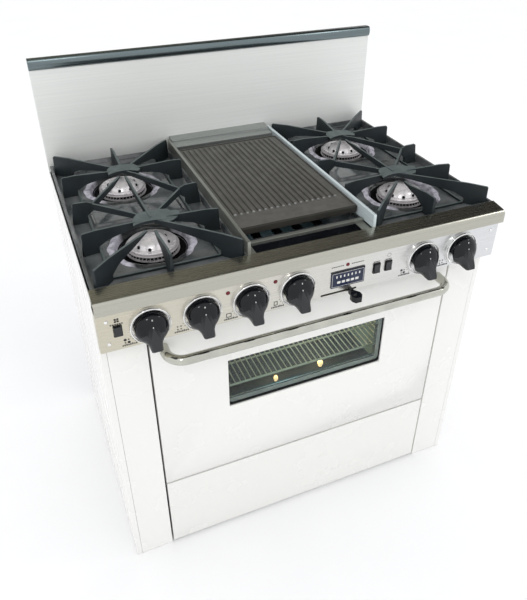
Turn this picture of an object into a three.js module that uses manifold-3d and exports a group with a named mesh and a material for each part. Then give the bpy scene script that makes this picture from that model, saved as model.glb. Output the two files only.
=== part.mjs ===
// Freestanding gas range with four open burners, a centre grill plate, an oven and a drawer.
// Millimetres, +Z up, the front faces -Y. Design depth Y is measured from the oven door's face.
import * as THREE from 'three';
import { mergeVertices } from 'three/addons/utils/BufferGeometryUtils.js';
import Module from 'manifold-3d';

const wasm = await Module();
wasm.setup();

// ---------------------------------------------------------------- driving dimensions
const HALF_WIDTH = 455.5;
const BACK = 605;
const SHEET = 2;
const GAP = 0.4;
const WELD = 1e-4;
const SLIVER = 0.02;

const COOKTOP_TOP = 817;
const TRAY_FLOOR = 800;
const GUARD_TOP = 1080;
const GUARD_FRONT = 590;
const TRIM_HEIGHT = 25;
const TRIM_REACH = 6;

const LEDGE_FRONT = -43;
const LEDGE_BACK = 0;
const LIP_TOP = 811;
const LIP_BOTTOM = 783;

const PANEL_FRONT = -30.5;
const PANEL_BOTTOM = 690;
const KNOB_HEIGHT = 732;
const KNOB_PITCH = 102;
const KNOB_SLOTS = [-3.5, -2.5, -1.5, -0.5, 2.5, 3.5];
const KNOB_NAMES = ['left_front', 'left_rear', 'oven', 'grill', 'right_rear', 'right_front'];
const SKIRT_RADIUS = 33;
const SKIRT_DEPTH = 11;
const GRIP_REACH = 50;
const GRIP_SIDES = 20;
const STEM_RADIUS = 4;
const STEM_TIP = -46;

const FLANGE_WIDTH = 12.5;
const COLUMN_OUTER = 442.6;
const COLUMN_INNER = 364;
const COLUMN_DEPTH = 40;
const COLUMN_TOP = 688;

const DOOR_HALF = 359.5;
const DOOR_BOTTOM = 231;
const DOOR_TOP = 686;
const DOOR_DEPTH = 38;
const DOOR_SHELL_BACK = 26;
const WINDOW = { x: [-195, 201], z: [420, 558] };
const PANES = { door_glass_outer: [5, 9], door_glass_inner: [28, 32] };

const HANDLE_REACH = 55;
const HANDLE_HEIGHT = 643;
const HANDLE_HALF = 332;
const HANDLE_BEND = 35;
const HANDLE_RADIUS = 10.7;
const HANDLE_SIDES = 12;

const DRAWER_BOTTOM = 6;
const DRAWER_TOP = 225;
const DRAWER_BOX = { x: 330, y: [18, 520], z: [24, 190] };

const OVEN = { x: 300, y: [46, 520], z: [262, 640] };
const RACK_HEIGHTS = { oven_rack_lower: 432, oven_rack_upper: 520 };
const RACK_WIRES = 13;
const WIRE = 3;
const WIRE_SIDES = 4;

const RAIL_OUTER = 145.5;
const RAIL_INNER = 138.5;
const RAIL_TOP = 845;
const RAIL_BACK = 577;
const FLUE_STEP = { start: 531, depth: 25, back: 4, high: 2, low: 3, front: 6 };
const PLATE_HALF = 137.5;
const PLATE_Y = [66, 512];
const PLATE_TOP = 837;
const PLATE_SKIRT = 16;
const PLATE_THICKNESS = 8;
const TROUGH_Z = [770, 810];
const FRONT_BAR = { y: [36, 46], z: [811, 819] };
const RIB_PITCH = 14;
const RIB_COUNT = 18;
const RIB_HEIGHT = 3;
const RIB_Y = [124, 498];
const RIB_SHIFT = -5;

const BAY = { inner: 146, outer: 452, y: [1, 587] };
const RIM = { inner: 3, outer: 8, front: 3, back: 8 };
const BURNER_X = 302;
const BURNER_Y = { front: 141, rear: 431 };
const VENTURI_Z = { front: 754, rear: 722 };
const VENTURI_START = 34;
const VENTURI_RADIUS = 12;
const BOWL_RADIUS = 88;
const BOWL_FLOOR = 778;
const HEAD_RADIUS = 56;
const HEAD_TOP = 802;
const CAP_RADIUS = 51;
const CAP_TOP = 821;
const HEAD_SIDES = 28;

const GRATE = { inner: 152, outer: 441, y: [7.5, 565] };
const GRATE_HUB_TOP = 842;
const GRATE_END_TOP = 850;
const BLADE = 8;
const HUB_THICKNESS = 7;
const FOOT = 34;
const CORNER_FOOT = 50;
const HEEL = 5;
const FINGER_ROOT_DEPTH = 11;
const FINGER_END_DEPTH = 33;
const TIP_GAP = 26;
const SHOULDER_INSET = 46;
const FRAME_BAR = { inset: 33, width: 5, height: 5 };
// Hub plates in plan, as offsets from the middle of the grate's front half and rear half.
const FRONT_HUB = [
  [-38, 8], [-22, 15], [0, 18], [20, 13], [34, 0], [52, 8],
  [66, 26], [62, 50], [38, 56], [4, 62], [-20, 56], [-32, 34],
];
const HUB_ROOT = { front: [4, 32], rear: [2, 16] };
const REAR_HUB = [
  [-34, -6], [-18, 2], [0, 5], [18, 1], [32, -10],
  [40, 14], [34, 34], [4, 44], [-22, 42], [-34, 18],
];

const WALL = 1.5;
const MANIFOLD = { half: 400, y: 16, z: 738, radius: 10 };
const VALVE = { radius: 12, y: [-22, 16] };
const LEVER = { x: [64, 88], reach: 40, top: 699 };
const SLOT = { x: [6, 92], z: [692, 697] };
const BADGE = { x: [28, 108], z: [708, 748] };
const ROCKER = { halfWidth: 7, halfHeight: 11, thickness: 3.5 };
const LAMP_RADIUS = 4.5;
const SWITCH_SPOTS = { switch_fan: [-418, 735], switch_light: [138, 733], switch_spark: [167, 733] };
const LAMP_SPOTS = { lamp_oven: [-200, 760], lamp_grill: [-99, 760] };

const LAMP_SOCKET = { x: -120, y: 470 };
const FAN = { z: 355, vane: 62, hub: 16, reach: 40, vanes: 6, depth: 18, clear: 4 };
const OVEN_BURNER = { x: 180, y: [70, 480], z: 246, radius: 10 };
const GRILL_BURNER = { x: [-75, -25, 25, 75], y: [90, 480], z: 775, radius: 9 };
const HINGE = { x: [310, 352], y: [42.5, 110], z: [4, 24] };
const RUNNER = { x: [2, 14], y: [44, 560], z: [90, 120] };

const FRONT_MOST = PANEL_FRONT - GRIP_REACH;
const BACK_MOST = BACK + 1;
const ORIGIN_Y = (FRONT_MOST + BACK_MOST) / 2;

const FINISH = {
  enamel: { color: 0xf4f4f1, roughness: 0.25, metalness: 0 },
  steel: { color: 0xc8c6be, roughness: 0.35, metalness: 1 },
  chrome: { color: 0xd8d8d8, roughness: 0.12, metalness: 1 },
  iron: { color: 0x33393b, roughness: 0.6, metalness: 0.1 },
  tray: { color: 0x5b6062, roughness: 0.35, metalness: 0.1 },
  plate: { color: 0x5a5852, roughness: 0.55, metalness: 0.2 },
  aluminium: { color: 0xb9b9b9, roughness: 0.4, metalness: 1 },
  plastic: { color: 0x16191b, roughness: 0.18, metalness: 0 },
  galvanised: { color: 0x9fa3a5, roughness: 0.5, metalness: 1 },
  cavity: { color: 0x4c5a5c, roughness: 0.3, metalness: 0.1 },
  glass: { color: 0xaec4c6, roughness: 0.05, metalness: 0 },
  brass: { color: 0xb08d4a, roughness: 0.4, metalness: 1 },
  red: { color: 0xa01518, roughness: 0.2, metalness: 0 },
  blue: { color: 0x26365c, roughness: 0.35, metalness: 0.2 },
};

const range = new THREE.Group();
range.name = 'gas_range';
range.position.y = -ORIGIN_Y;

// ---------------------------------------------------------------- helpers
function toSolid(geometry) {
  const bare = geometry.clone();
  bare.deleteAttribute('normal');
  bare.deleteAttribute('uv');
  const merged = mergeVertices(bare, WELD);
  return new wasm.Manifold(new wasm.Mesh({
    numProp: 3,
    vertProperties: new Float32Array(merged.attributes.position.array),
    triVerts: new Uint32Array(merged.index.array),
  }));
}

function addPart(name, finish, solid) {
  const mesh = solid.getMesh();
  const geometry = new THREE.BufferGeometry();
  geometry.setAttribute('position', new THREE.BufferAttribute(mesh.vertProperties, 3));
  geometry.setIndex(new THREE.BufferAttribute(mesh.triVerts, 1));
  geometry.computeVertexNormals();
  const part = new THREE.Mesh(geometry, new THREE.MeshStandardMaterial(FINISH[finish]));
  part.name = name;
  range.add(part);
}

// A box given by its lowest and highest X, Y and Z.
function block(x, y, z) {
  const geometry = new THREE.BoxGeometry(x[1] - x[0], y[1] - y[0], z[1] - z[0]);
  geometry.translate((x[0] + x[1]) / 2, (y[0] + y[1]) / 2, (z[0] + z[1]) / 2);
  return toSolid(geometry);
}

// An outline in Y and Z, extruded along X.
function alongX(outline, x) {
  const shape = new THREE.Shape(outline.map(([y, z]) => new THREE.Vector2(y, z)));
  const geometry = new THREE.ExtrudeGeometry(shape, { depth: x[1] - x[0], bevelEnabled: false });
  const turn = new THREE.Matrix4().makeBasis(
    new THREE.Vector3(0, 1, 0),
    new THREE.Vector3(0, 0, 1),
    new THREE.Vector3(1, 0, 0),
  );
  geometry.applyMatrix4(turn);
  geometry.translate(x[0], 0, 0);
  return toSolid(geometry);
}

// A profile of [radius, height] points turned about a vertical axis.
function turnedUp(profile, sides, x, y) {
  const points = profile.map(([radius, height]) => new THREE.Vector2(radius, height));
  const geometry = new THREE.LatheGeometry(points, sides);
  geometry.rotateX(Math.PI / 2);
  geometry.translate(x, y, 0);
  return toSolid(geometry);
}

function rodX(radius, x, y, z, sides = 12) {
  const geometry = new THREE.CylinderGeometry(radius, radius, x[1] - x[0], sides);
  geometry.rotateZ(Math.PI / 2);
  geometry.translate((x[0] + x[1]) / 2, y, z);
  return toSolid(geometry);
}

function rodY(radius, x, y, z, sides = 12) {
  const geometry = new THREE.CylinderGeometry(radius, radius, y[1] - y[0], sides);
  geometry.translate(x, (y[0] + y[1]) / 2, z);
  return toSolid(geometry);
}

function disc(radius, x, y, z, sides = HEAD_SIDES) {
  const geometry = new THREE.CylinderGeometry(radius, radius, z[1] - z[0], sides);
  geometry.rotateX(Math.PI / 2);
  geometry.translate(x, y, (z[0] + z[1]) / 2);
  return toSolid(geometry);
}

function joined(solids) {
  return solids.reduce((whole, piece) => whole.add(piece));
}

// An open-topped sheet box: outer limits less an inner space that runs out of the top.
function openBox(x, y, z, wall) {
  const inside = block(
    [x[0] + wall, x[1] - wall],
    [y[0] + wall, y[1] - wall],
    [z[0] + wall, z[1] + wall],
  );
  return block(x, y, z).subtract(inside);
}

// A polygon in plan, extruded upwards.
function upright(outline, z) {
  const shape = new THREE.Shape(outline.map(([x, y]) => new THREE.Vector2(x, y)));
  const geometry = new THREE.ExtrudeGeometry(shape, { depth: z[1] - z[0], bevelEnabled: false });
  geometry.translate(0, 0, z[0]);
  return toSolid(geometry);
}

function mirroredRange(side, inner, outer) {
  return side < 0 ? [-outer, -inner] : [inner, outer];
}

// ---------------------------------------------------------------- cabinet
function addCabinet() {
  const cabinetTop = COOKTOP_TOP - 19;
  for (const [name, side] of [['left', -1], ['right', 1]]) {
    const wallX = mirroredRange(side, HALF_WIDTH - SHEET, HALF_WIDTH);
    const wall = block(wallX, [0, BACK - SHEET], [0, cabinetTop]);
    const flangeX = mirroredRange(side, HALF_WIDTH - FLANGE_WIDTH, HALF_WIDTH);
    const flange = block(flangeX, [0, SHEET], [0, COLUMN_TOP]);
    addPart(`side_panel_${name}`, 'enamel', wall.add(flange));
    const faceX = mirroredRange(side, COLUMN_INNER, COLUMN_OUTER);
    const face = block(faceX, [0, SHEET], [0, COLUMN_TOP]);
    const returnX = mirroredRange(side, COLUMN_INNER, COLUMN_INNER + SHEET);
    const inner = block(returnX, [0, COLUMN_DEPTH], [0, COLUMN_TOP]);
    addPart(`front_column_${name}`, 'enamel', face.add(inner));
  }
  const across = [SHEET + GAP - HALF_WIDTH, HALF_WIDTH - SHEET - GAP];
  const rear = [BACK - 2 * SHEET, BACK - SHEET];
  addPart('back_panel', 'galvanised', block(across, rear, [SHEET + GAP, cabinetTop]));
  const under = [COLUMN_DEPTH + GAP, BACK - SHEET];
  addPart('base_pan', 'galvanised', block(across, under, [0, SHEET]));
}

// ---------------------------------------------------------------- backguard and cooktop frame
function addBackguard() {
  const across = [-HALF_WIDTH, HALF_WIDTH];
  const hollowX = [WALL - HALF_WIDTH, HALF_WIDTH - WALL];
  const guardFoot = TRAY_FLOOR;
  const guardHead = GUARD_TOP - TRIM_HEIGHT;
  const guard = block(across, [GUARD_FRONT, BACK - SHEET], [guardFoot, guardHead]);
  const guardInside = block(
    hollowX, [GUARD_FRONT + WALL, BACK - SHEET - WALL], [guardFoot - SHEET, guardHead - WALL]);
  addPart('backguard_panel', 'steel', guard.subtract(guardInside));

  const low = guardHead + GAP;
  const middle = (low + GUARD_TOP) / 2;
  const front = GUARD_FRONT - TRIM_REACH;
  const depth = TRIM_HEIGHT / 4;
  const steps = 8;
  const nose = [];
  for (let i = 0; i <= steps; i += 1) {
    const angle = Math.PI / 2 + (Math.PI * i) / steps;
    const y = front + depth + depth * Math.cos(angle);
    const z = middle + (GUARD_TOP - middle) * Math.sin(angle);
    nose.push([y, z]);
  }
  const trim = alongX([[BACK_MOST, low], [BACK_MOST, GUARD_TOP], ...nose], across);
  const trimInside = block(
    hollowX, [front + 2 * depth, BACK_MOST - WALL], [low - SHEET, GUARD_TOP - WALL]);
  addPart('backguard_trim', 'steel', trim.subtract(trimInside));
}

function addLedge() {
  const outline = [
    [LEDGE_FRONT, LIP_BOTTOM],
    [LEDGE_FRONT + SHEET, LIP_BOTTOM],
    [LEDGE_FRONT + SHEET, LIP_TOP - SHEET],
    [LEDGE_BACK - SHEET, COOKTOP_TOP - SHEET],
    [LEDGE_BACK - SHEET, LIP_BOTTOM],
    [LEDGE_BACK, LIP_BOTTOM],
    [LEDGE_BACK, COOKTOP_TOP],
    [LEDGE_FRONT, LIP_TOP],
  ];
  addPart('front_ledge', 'steel', alongX(outline, [-HALF_WIDTH, HALF_WIDTH]));
}

function addRails() {
  const railFoot = COOKTOP_TOP - SHEET;
  for (const [name, side] of [['left', -1], ['right', 1]]) {
    const railX = mirroredRange(side, RAIL_INNER, RAIL_OUTER);
    const rail = block(railX, [LEDGE_BACK + GAP, RAIL_BACK], [railFoot, RAIL_TOP]);
    const channel = block(
      mirroredRange(side, RAIL_INNER + SHEET, RAIL_OUTER - SHEET),
      [LEDGE_BACK + SHEET, RAIL_BACK + SHEET],
      [railFoot - SHEET, RAIL_TOP - SHEET],
    );
    addPart(`grill_rail_${name}`, 'steel', rail.subtract(channel));
  }
}

// A two-step cover behind the grill plate, open underneath.
function addFlueCover() {
  const front = FLUE_STEP.start;
  const back = GUARD_FRONT - GAP;
  const step = front + FLUE_STEP.depth;
  const inner = RAIL_INNER - GAP;
  const shell = alongX([
    [front, TRAY_FLOOR],
    [back, TRAY_FLOOR],
    [back, RAIL_TOP + FLUE_STEP.back],
    [step, RAIL_TOP + FLUE_STEP.high],
    [step, RAIL_TOP - FLUE_STEP.low],
    [front, RAIL_TOP - FLUE_STEP.front],
  ], [-inner, inner]);
  const hollow = block(
    [SHEET - inner, inner - SHEET],
    [front + SHEET, back - SHEET],
    [TRAY_FLOOR - SHEET, RAIL_TOP - FLUE_STEP.front - 2 * SHEET],
  );
  addPart('flue_cover', 'steel', shell.subtract(hollow));
}

// ---------------------------------------------------------------- burner bays
function addTray(name, side) {
  const bayX = mirroredRange(side, BAY.inner, BAY.outer);
  const floorBlock = block(bayX, BAY.y, [TRAY_FLOOR - SHEET, COOKTOP_TOP]);
  const well = block(
    mirroredRange(side, BAY.inner + RIM.inner, BAY.outer - RIM.outer),
    [BAY.y[0] + RIM.front, BAY.y[1] - RIM.back],
    [TRAY_FLOOR, COOKTOP_TOP + SHEET]);
  let tray = floorBlock.subtract(well);
  for (const y of Object.values(BURNER_Y)) {
    const x = side * BURNER_X;
    tray = tray.add(disc(BOWL_RADIUS, x, y, [BOWL_FLOOR, TRAY_FLOOR - SHEET / 2]));
    tray = tray.subtract(disc(BOWL_RADIUS - SHEET, x, y, [BOWL_FLOOR + SHEET, TRAY_FLOOR + SHEET]));
    tray = tray.subtract(disc(HEAD_RADIUS / 2, x, y, [BOWL_FLOOR - SHEET, TRAY_FLOOR]));
  }
  addPart(name, 'tray', tray);
}

function addBurner(place, side, y, tubeZ) {
  const x = side * BURNER_X;
  const throat = HEAD_RADIUS / 2 - 4;
  const head = turnedUp([
    [0, tubeZ - 14], [throat, tubeZ - 14], [throat, HEAD_TOP - 18], [HEAD_RADIUS - 8, HEAD_TOP - 14],
    [HEAD_RADIUS, HEAD_TOP - 9], [HEAD_RADIUS, HEAD_TOP], [HEAD_RADIUS - 14, HEAD_TOP], [0, HEAD_TOP],
  ], HEAD_SIDES, x, y);
  const venturi = rodY(VENTURI_RADIUS, x, [VENTURI_START, y], tubeZ);
  addPart(`burner_head_${place}`, 'aluminium', head.add(venturi));
  addPart(`burner_cap_${place}`, 'aluminium', turnedUp([
    [0, HEAD_TOP + GAP], [CAP_RADIUS, HEAD_TOP + GAP], [CAP_RADIUS, HEAD_TOP + 5],
    [CAP_RADIUS * 0.78, CAP_TOP - 5], [CAP_RADIUS * 0.4, CAP_TOP], [0, CAP_TOP],
  ], HEAD_SIDES, x, y));
}

// A vertical blade from one plan point to another, with its own top and bottom heights at each end.
function blade(from, to, profile) {
  const run = new THREE.Vector2(to[0] - from[0], to[1] - from[1]);
  const length = run.length();
  const shape = new THREE.Shape(profile(length).map(([s, z]) => new THREE.Vector2(s, z)));
  const geometry = new THREE.ExtrudeGeometry(shape, { depth: BLADE, bevelEnabled: false });
  geometry.translate(0, 0, -BLADE / 2);
  geometry.rotateX(Math.PI / 2);
  geometry.rotateZ(run.angle());
  geometry.translate(from[0], from[1], 0);
  return toSolid(geometry);
}

// The outline of a finger that ends in a foot on the tray. Its inner end is rootDepth deep.
function footed(foot, rootDepth) {
  const bottom = TRAY_FLOOR + GAP;
  return (length) => [
    [0, GRATE_HUB_TOP - rootDepth],
    [length * 0.45, GRATE_HUB_TOP - FINGER_ROOT_DEPTH - 3],
    [length - foot - 20, GRATE_END_TOP - FINGER_END_DEPTH],
    [length - foot, GRATE_END_TOP - FINGER_END_DEPTH],
    [length - foot, bottom],
    [length, bottom],
    [length - HEEL, GRATE_END_TOP],
    [length - foot - 17, GRATE_END_TOP],
    [0, GRATE_HUB_TOP],
  ];
}

function plainFinger(length) {
  return [
    [0, GRATE_HUB_TOP - FINGER_ROOT_DEPTH],
    [length, GRATE_HUB_TOP - FINGER_ROOT_DEPTH],
    [length, GRATE_HUB_TOP],
    [0, GRATE_HUB_TOP],
  ];
}

// The short outer end of a middle finger, where two diagonals meet over its foot.
function shoulder(length) {
  const bottom = TRAY_FLOOR + GAP;
  return [
    [0, GRATE_HUB_TOP - FINGER_ROOT_DEPTH],
    [length - FOOT, GRATE_END_TOP - FINGER_END_DEPTH],
    [length - FOOT, bottom],
    [length, bottom],
    [length - HEEL, GRATE_END_TOP],
    [0, GRATE_HUB_TOP],
  ];
}

// A point at a given distance from one plan point towards another.
function along(from, to, distance) {
  const run = Math.hypot(to[0] - from[0], to[1] - from[1]);
  return [0, 1].map((axis) => from[axis] + ((to[axis] - from[axis]) * distance) / run);
}

// The low frame that joins all the feet.
function frameBars(x, y) {
  const { inset, width, height } = FRAME_BAR;
  const z = [TRAY_FLOOR + GAP, TRAY_FLOOR + GAP + height];
  const outer = block([x[0] + inset, x[1] - inset], [y[0] + inset, y[1] - inset], z);
  const hole = block(
    [x[0] + inset + width, x[1] - inset - width],
    [y[0] + inset + width, y[1] - inset - width],
    [z[0] - 1, z[1] + 1],
  );
  return outer.subtract(hole);
}

// Both grates are the same casting: fingers reach the left, the right and each corner, and the
// two fingers in front of each burner have free tips.
function addGrate(name, x) {
  const y = GRATE.y;
  const midX = (x[0] + x[1]) / 2;
  const midY = (y[0] + y[1]) / 2;
  const front = [midX, (y[0] + midY) / 2];
  const rear = [midX, (midY + y[1]) / 2];
  const plates = [[front, FRONT_HUB], [rear, REAR_HUB]];
  const pieces = plates.map(([middle, outline]) => upright(
    outline.map(([dx, dy]) => [middle[0] + dx, middle[1] + dy]),
    [GRATE_HUB_TOP - HUB_THICKNESS, GRATE_HUB_TOP],
  ));
  const frontRoot = [midX + HUB_ROOT.front[0], front[1] + HUB_ROOT.front[1]];
  const rearRoot = [midX + HUB_ROOT.rear[0], rear[1] + HUB_ROOT.rear[1]];
  const shoulders = x.map((edge) => [edge + Math.sign(midX - edge) * SHOULDER_INSET, midY]);
  const straight = [
    [frontRoot, [x[0], front[1]]], [frontRoot, [x[1], front[1]]],
    [rearRoot, [x[0], rear[1]]], [rearRoot, [x[1], rear[1]]], [rearRoot, [midX, y[1]]],
  ];
  const diagonal = [
    [frontRoot, [x[1], y[0]]], [rearRoot, [x[0], y[1]]], [rearRoot, [x[1], y[1]]],
  ];
  const root = FINGER_ROOT_DEPTH;
  const tip = FINGER_ROOT_DEPTH / 2;
  pieces.push(...straight.map(([from, to]) => blade(from, to, footed(FOOT, root))));
  pieces.push(...diagonal.map(([from, to]) => blade(from, to, footed(CORNER_FOOT, root))));
  const frontMiddle = [midX, y[0]];
  const frontCorner = [x[0], y[0]];
  pieces.push(blade(along(front, frontMiddle, TIP_GAP), frontMiddle, footed(FOOT, tip)));
  pieces.push(blade(along(front, frontCorner, TIP_GAP), frontCorner, footed(CORNER_FOOT, tip)));
  pieces.push(blade(frontRoot, shoulders[0], plainFinger));
  pieces.push(blade(frontRoot, shoulders[1], plainFinger));
  pieces.push(blade(rearRoot, shoulders[1], plainFinger));
  pieces.push(blade(along(rear, shoulders[0], TIP_GAP), shoulders[0], plainFinger));
  pieces.push(blade(along(rear, front, TIP_GAP), frontRoot, plainFinger));
  for (const [i, edge] of x.entries()) {
    const from = along(shoulders[i], [edge, midY], -BLADE / 2);
    pieces.push(blade(from, [edge, midY], shoulder));
  }
  pieces.push(frameBars(x, y));
  addPart(name, 'iron', joined(pieces).simplify(SLIVER));
}

// ---------------------------------------------------------------- grill
function addGrill() {
  const slab = block([-PLATE_HALF, PLATE_HALF], PLATE_Y, [PLATE_TOP - PLATE_SKIRT, PLATE_TOP]);
  const underside = block(
    [PLATE_THICKNESS - PLATE_HALF, PLATE_HALF - PLATE_THICKNESS],
    [PLATE_Y[0] + PLATE_THICKNESS, PLATE_Y[1] - PLATE_THICKNESS],
    [PLATE_TOP - PLATE_SKIRT - 1, PLATE_TOP - PLATE_THICKNESS],
  );
  const ribs = [];
  for (let i = 0; i < RIB_COUNT; i += 1) {
    const x = RIB_SHIFT + (i - (RIB_COUNT - 1) / 2) * RIB_PITCH;
    const half = RIB_PITCH / 4;
    ribs.push(block([x - half, x + half], RIB_Y, [PLATE_TOP - 1, PLATE_TOP + RIB_HEIGHT]));
  }
  addPart('grill_plate', 'plate', joined([slab.subtract(underside), ...ribs]));
  const across = [1 - RAIL_INNER, RAIL_INNER - 1];
  const troughY = [LEDGE_BACK + SHEET, PLATE_Y[0] - SHEET];
  addPart('grease_trough', 'tray', openBox(across, troughY, TROUGH_Z, SHEET));
  addPart('grill_front_bar', 'steel', block(across, FRONT_BAR.y, FRONT_BAR.z));
  const { x: runX, y: runY, z, radius } = GRILL_BURNER;
  const feed = rodX(radius, [runX[0] - radius, runX[runX.length - 1] + radius], runY[0], z);
  addPart('grill_burner', 'galvanised', joined([feed, ...runX.map((at) => rodY(radius, at, runY, z))]));
}

// ---------------------------------------------------------------- control panel
function knobX(slot) {
  return slot * KNOB_PITCH;
}

function addControlPanel() {
  const top = LIP_BOTTOM - GAP;
  const back = LEDGE_BACK - SHEET - GAP;
  const shell = block([-HALF_WIDTH, HALF_WIDTH], [PANEL_FRONT, back], [PANEL_BOTTOM, top]);
  const hollow = block(
    [SHEET - HALF_WIDTH, HALF_WIDTH - SHEET],
    [PANEL_FRONT + SHEET, LEDGE_BACK],
    [PANEL_BOTTOM + SHEET, top - SHEET],
  );
  const cutDepth = [PANEL_FRONT - SHEET, PANEL_FRONT + 2 * SHEET];
  let panel = shell.subtract(hollow);
  for (const slot of KNOB_SLOTS) {
    panel = panel.subtract(rodY(STEM_RADIUS + SHEET, knobX(slot), cutDepth, KNOB_HEIGHT));
  }
  addPart('control_panel', 'steel', panel.subtract(block(SLOT.x, cutDepth, SLOT.z)));

  const face = PANEL_FRONT - GAP;
  addPart('badge_plate', 'blue', block(BADGE.x, [face - SHEET, face], BADGE.z));
  for (const [name, [x, z]] of Object.entries(LAMP_SPOTS)) {
    addPart(name, 'red', rodY(LAMP_RADIUS, x, [face - SHEET, face], z));
  }
  const { halfWidth, halfHeight, thickness } = ROCKER;
  for (const [name, [x, z]] of Object.entries(SWITCH_SPOTS)) {
    const rockerY = [PANEL_FRONT - SHEET - thickness, PANEL_FRONT - SHEET];
    addPart(name, 'plastic', block(
      [x - halfWidth, x + halfWidth], rockerY, [z - halfHeight, z + halfHeight]));
  }
  const { x, reach, top: leverTop } = LEVER;
  addPart('latch_lever', 'plastic', alongX([
    [face, leverTop - 8],
    [face, leverTop],
    [PANEL_FRONT - reach * 0.75, leverTop - 2],
    [PANEL_FRONT - reach, leverTop - 9],
    [PANEL_FRONT - reach, leverTop - 14],
    [PANEL_FRONT - reach * 0.7, leverTop - 9],
  ], x));
}

// The grip starts round on the skirt and narrows to an upright bar whose lower end reaches further out.
function addKnob(name, slot) {
  const x = knobX(slot);
  const back = PANEL_FRONT - 4;
  const front = PANEL_FRONT - GRIP_REACH;
  const skirtFront = back - SKIRT_DEPTH;
  const skirt = rodY(SKIRT_RADIUS, x, [skirtFront, back], KNOB_HEIGHT, GRIP_SIDES);
  const depth = skirtFront - front + 1;
  const grip = new THREE.CylinderGeometry(SKIRT_RADIUS - 3, SKIRT_RADIUS - 3, depth, GRIP_SIDES, 3);
  const spots = grip.attributes.position;
  for (let i = 0; i < spots.count; i += 1) {
    const out = 0.5 - spots.getY(i) / depth;
    const pinch = 1 - 0.7 * Math.sin((out * Math.PI) / 2);
    const shorten = 1 - 0.18 * out;
    spots.setX(i, spots.getX(i) * pinch);
    spots.setZ(i, spots.getZ(i) * shorten - 3 * out);
  }
  grip.translate(x, front + depth / 2, KNOB_HEIGHT);
  const bore = rodY(STEM_RADIUS + 0.5, x, [STEM_TIP - 1, back + 1], KNOB_HEIGHT);
  addPart(`knob_${name}`, 'plastic', skirt.add(toSolid(grip)).subtract(bore));
}

function addGasTrain() {
  const pipe = rodX(MANIFOLD.radius, [-MANIFOLD.half, MANIFOLD.half], MANIFOLD.y, MANIFOLD.z);
  const valves = KNOB_SLOTS.flatMap((slot) => [
    rodY(VALVE.radius, knobX(slot), VALVE.y, KNOB_HEIGHT),
    rodY(STEM_RADIUS, knobX(slot), [STEM_TIP, VALVE.y[0] + 1], KNOB_HEIGHT),
  ]);
  addPart('gas_manifold', 'brass', joined([pipe, ...valves]));
}

// ---------------------------------------------------------------- oven
function addOven() {
  const x = [-OVEN.x, OVEN.x];
  const outer = block(
    [x[0] - SHEET, x[1] + SHEET],
    [OVEN.y[0], OVEN.y[1] + SHEET],
    [OVEN.z[0] - SHEET, OVEN.z[1] + SHEET],
  );
  const inner = block(x, [OVEN.y[0] - SHEET, OVEN.y[1]], OVEN.z);
  addPart('oven_liner', 'cavity', outer.subtract(inner));
  for (const [name, z] of Object.entries(RACK_HEIGHTS)) {
    addPart(name, 'chrome', rack(z));
  }
  const socket = OVEN.z[1] - GAP;
  addPart('oven_lamp', 'glass', turnedUp([
    [0, socket - 40], [14, socket - 36], [18, socket - 22], [14, socket], [0, socket],
  ], 16, LAMP_SOCKET.x, LAMP_SOCKET.y));
  addConvectionFan();
  const { x: runX, y: runY, z, radius } = OVEN_BURNER;
  const runs = [-runX, runX].map((at) => rodY(radius, at, runY, z));
  const feed = rodX(radius, [-runX - radius, runX + radius], runY[1], z);
  addPart('oven_burner', 'galvanised', joined([feed, ...runs]));
}

function addConvectionFan() {
  const back = OVEN.y[1] - FAN.clear;
  const fanY = [back - FAN.depth, back];
  const blades = [];
  for (let i = 0; i < FAN.vanes; i += 1) {
    const vane = new THREE.BoxGeometry(FAN.vane, FAN.depth, SHEET);
    vane.translate(FAN.reach, 0, 0);
    vane.rotateY((Math.PI * 2 * i) / FAN.vanes);
    vane.translate(0, (fanY[0] + fanY[1]) / 2, FAN.z);
    blades.push(toSolid(vane));
  }
  addPart('convection_fan', 'galvanised', joined([rodY(FAN.hub, 0, fanY, FAN.z), ...blades]));
}

function rack(z) {
  const x = [-OVEN.x + 6, OVEN.x - 6];
  const y = [OVEN.y[0] + 12, OVEN.y[1] - 34];
  const wires = [];
  for (const edge of [y[0], (y[0] + y[1]) / 2, y[1]]) {
    wires.push(rodX(WIRE, x, edge, z - WIRE, WIRE_SIDES));
  }
  for (const edge of x) {
    wires.push(rodY(WIRE, edge, y, z - WIRE, WIRE_SIDES));
  }
  for (let i = 1; i <= RACK_WIRES; i += 1) {
    const wireX = x[0] + ((x[1] - x[0]) * i) / (RACK_WIRES + 1);
    wires.push(rodY(WIRE * 0.75, wireX, y, z, WIRE_SIDES));
  }
  return joined(wires);
}

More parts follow.
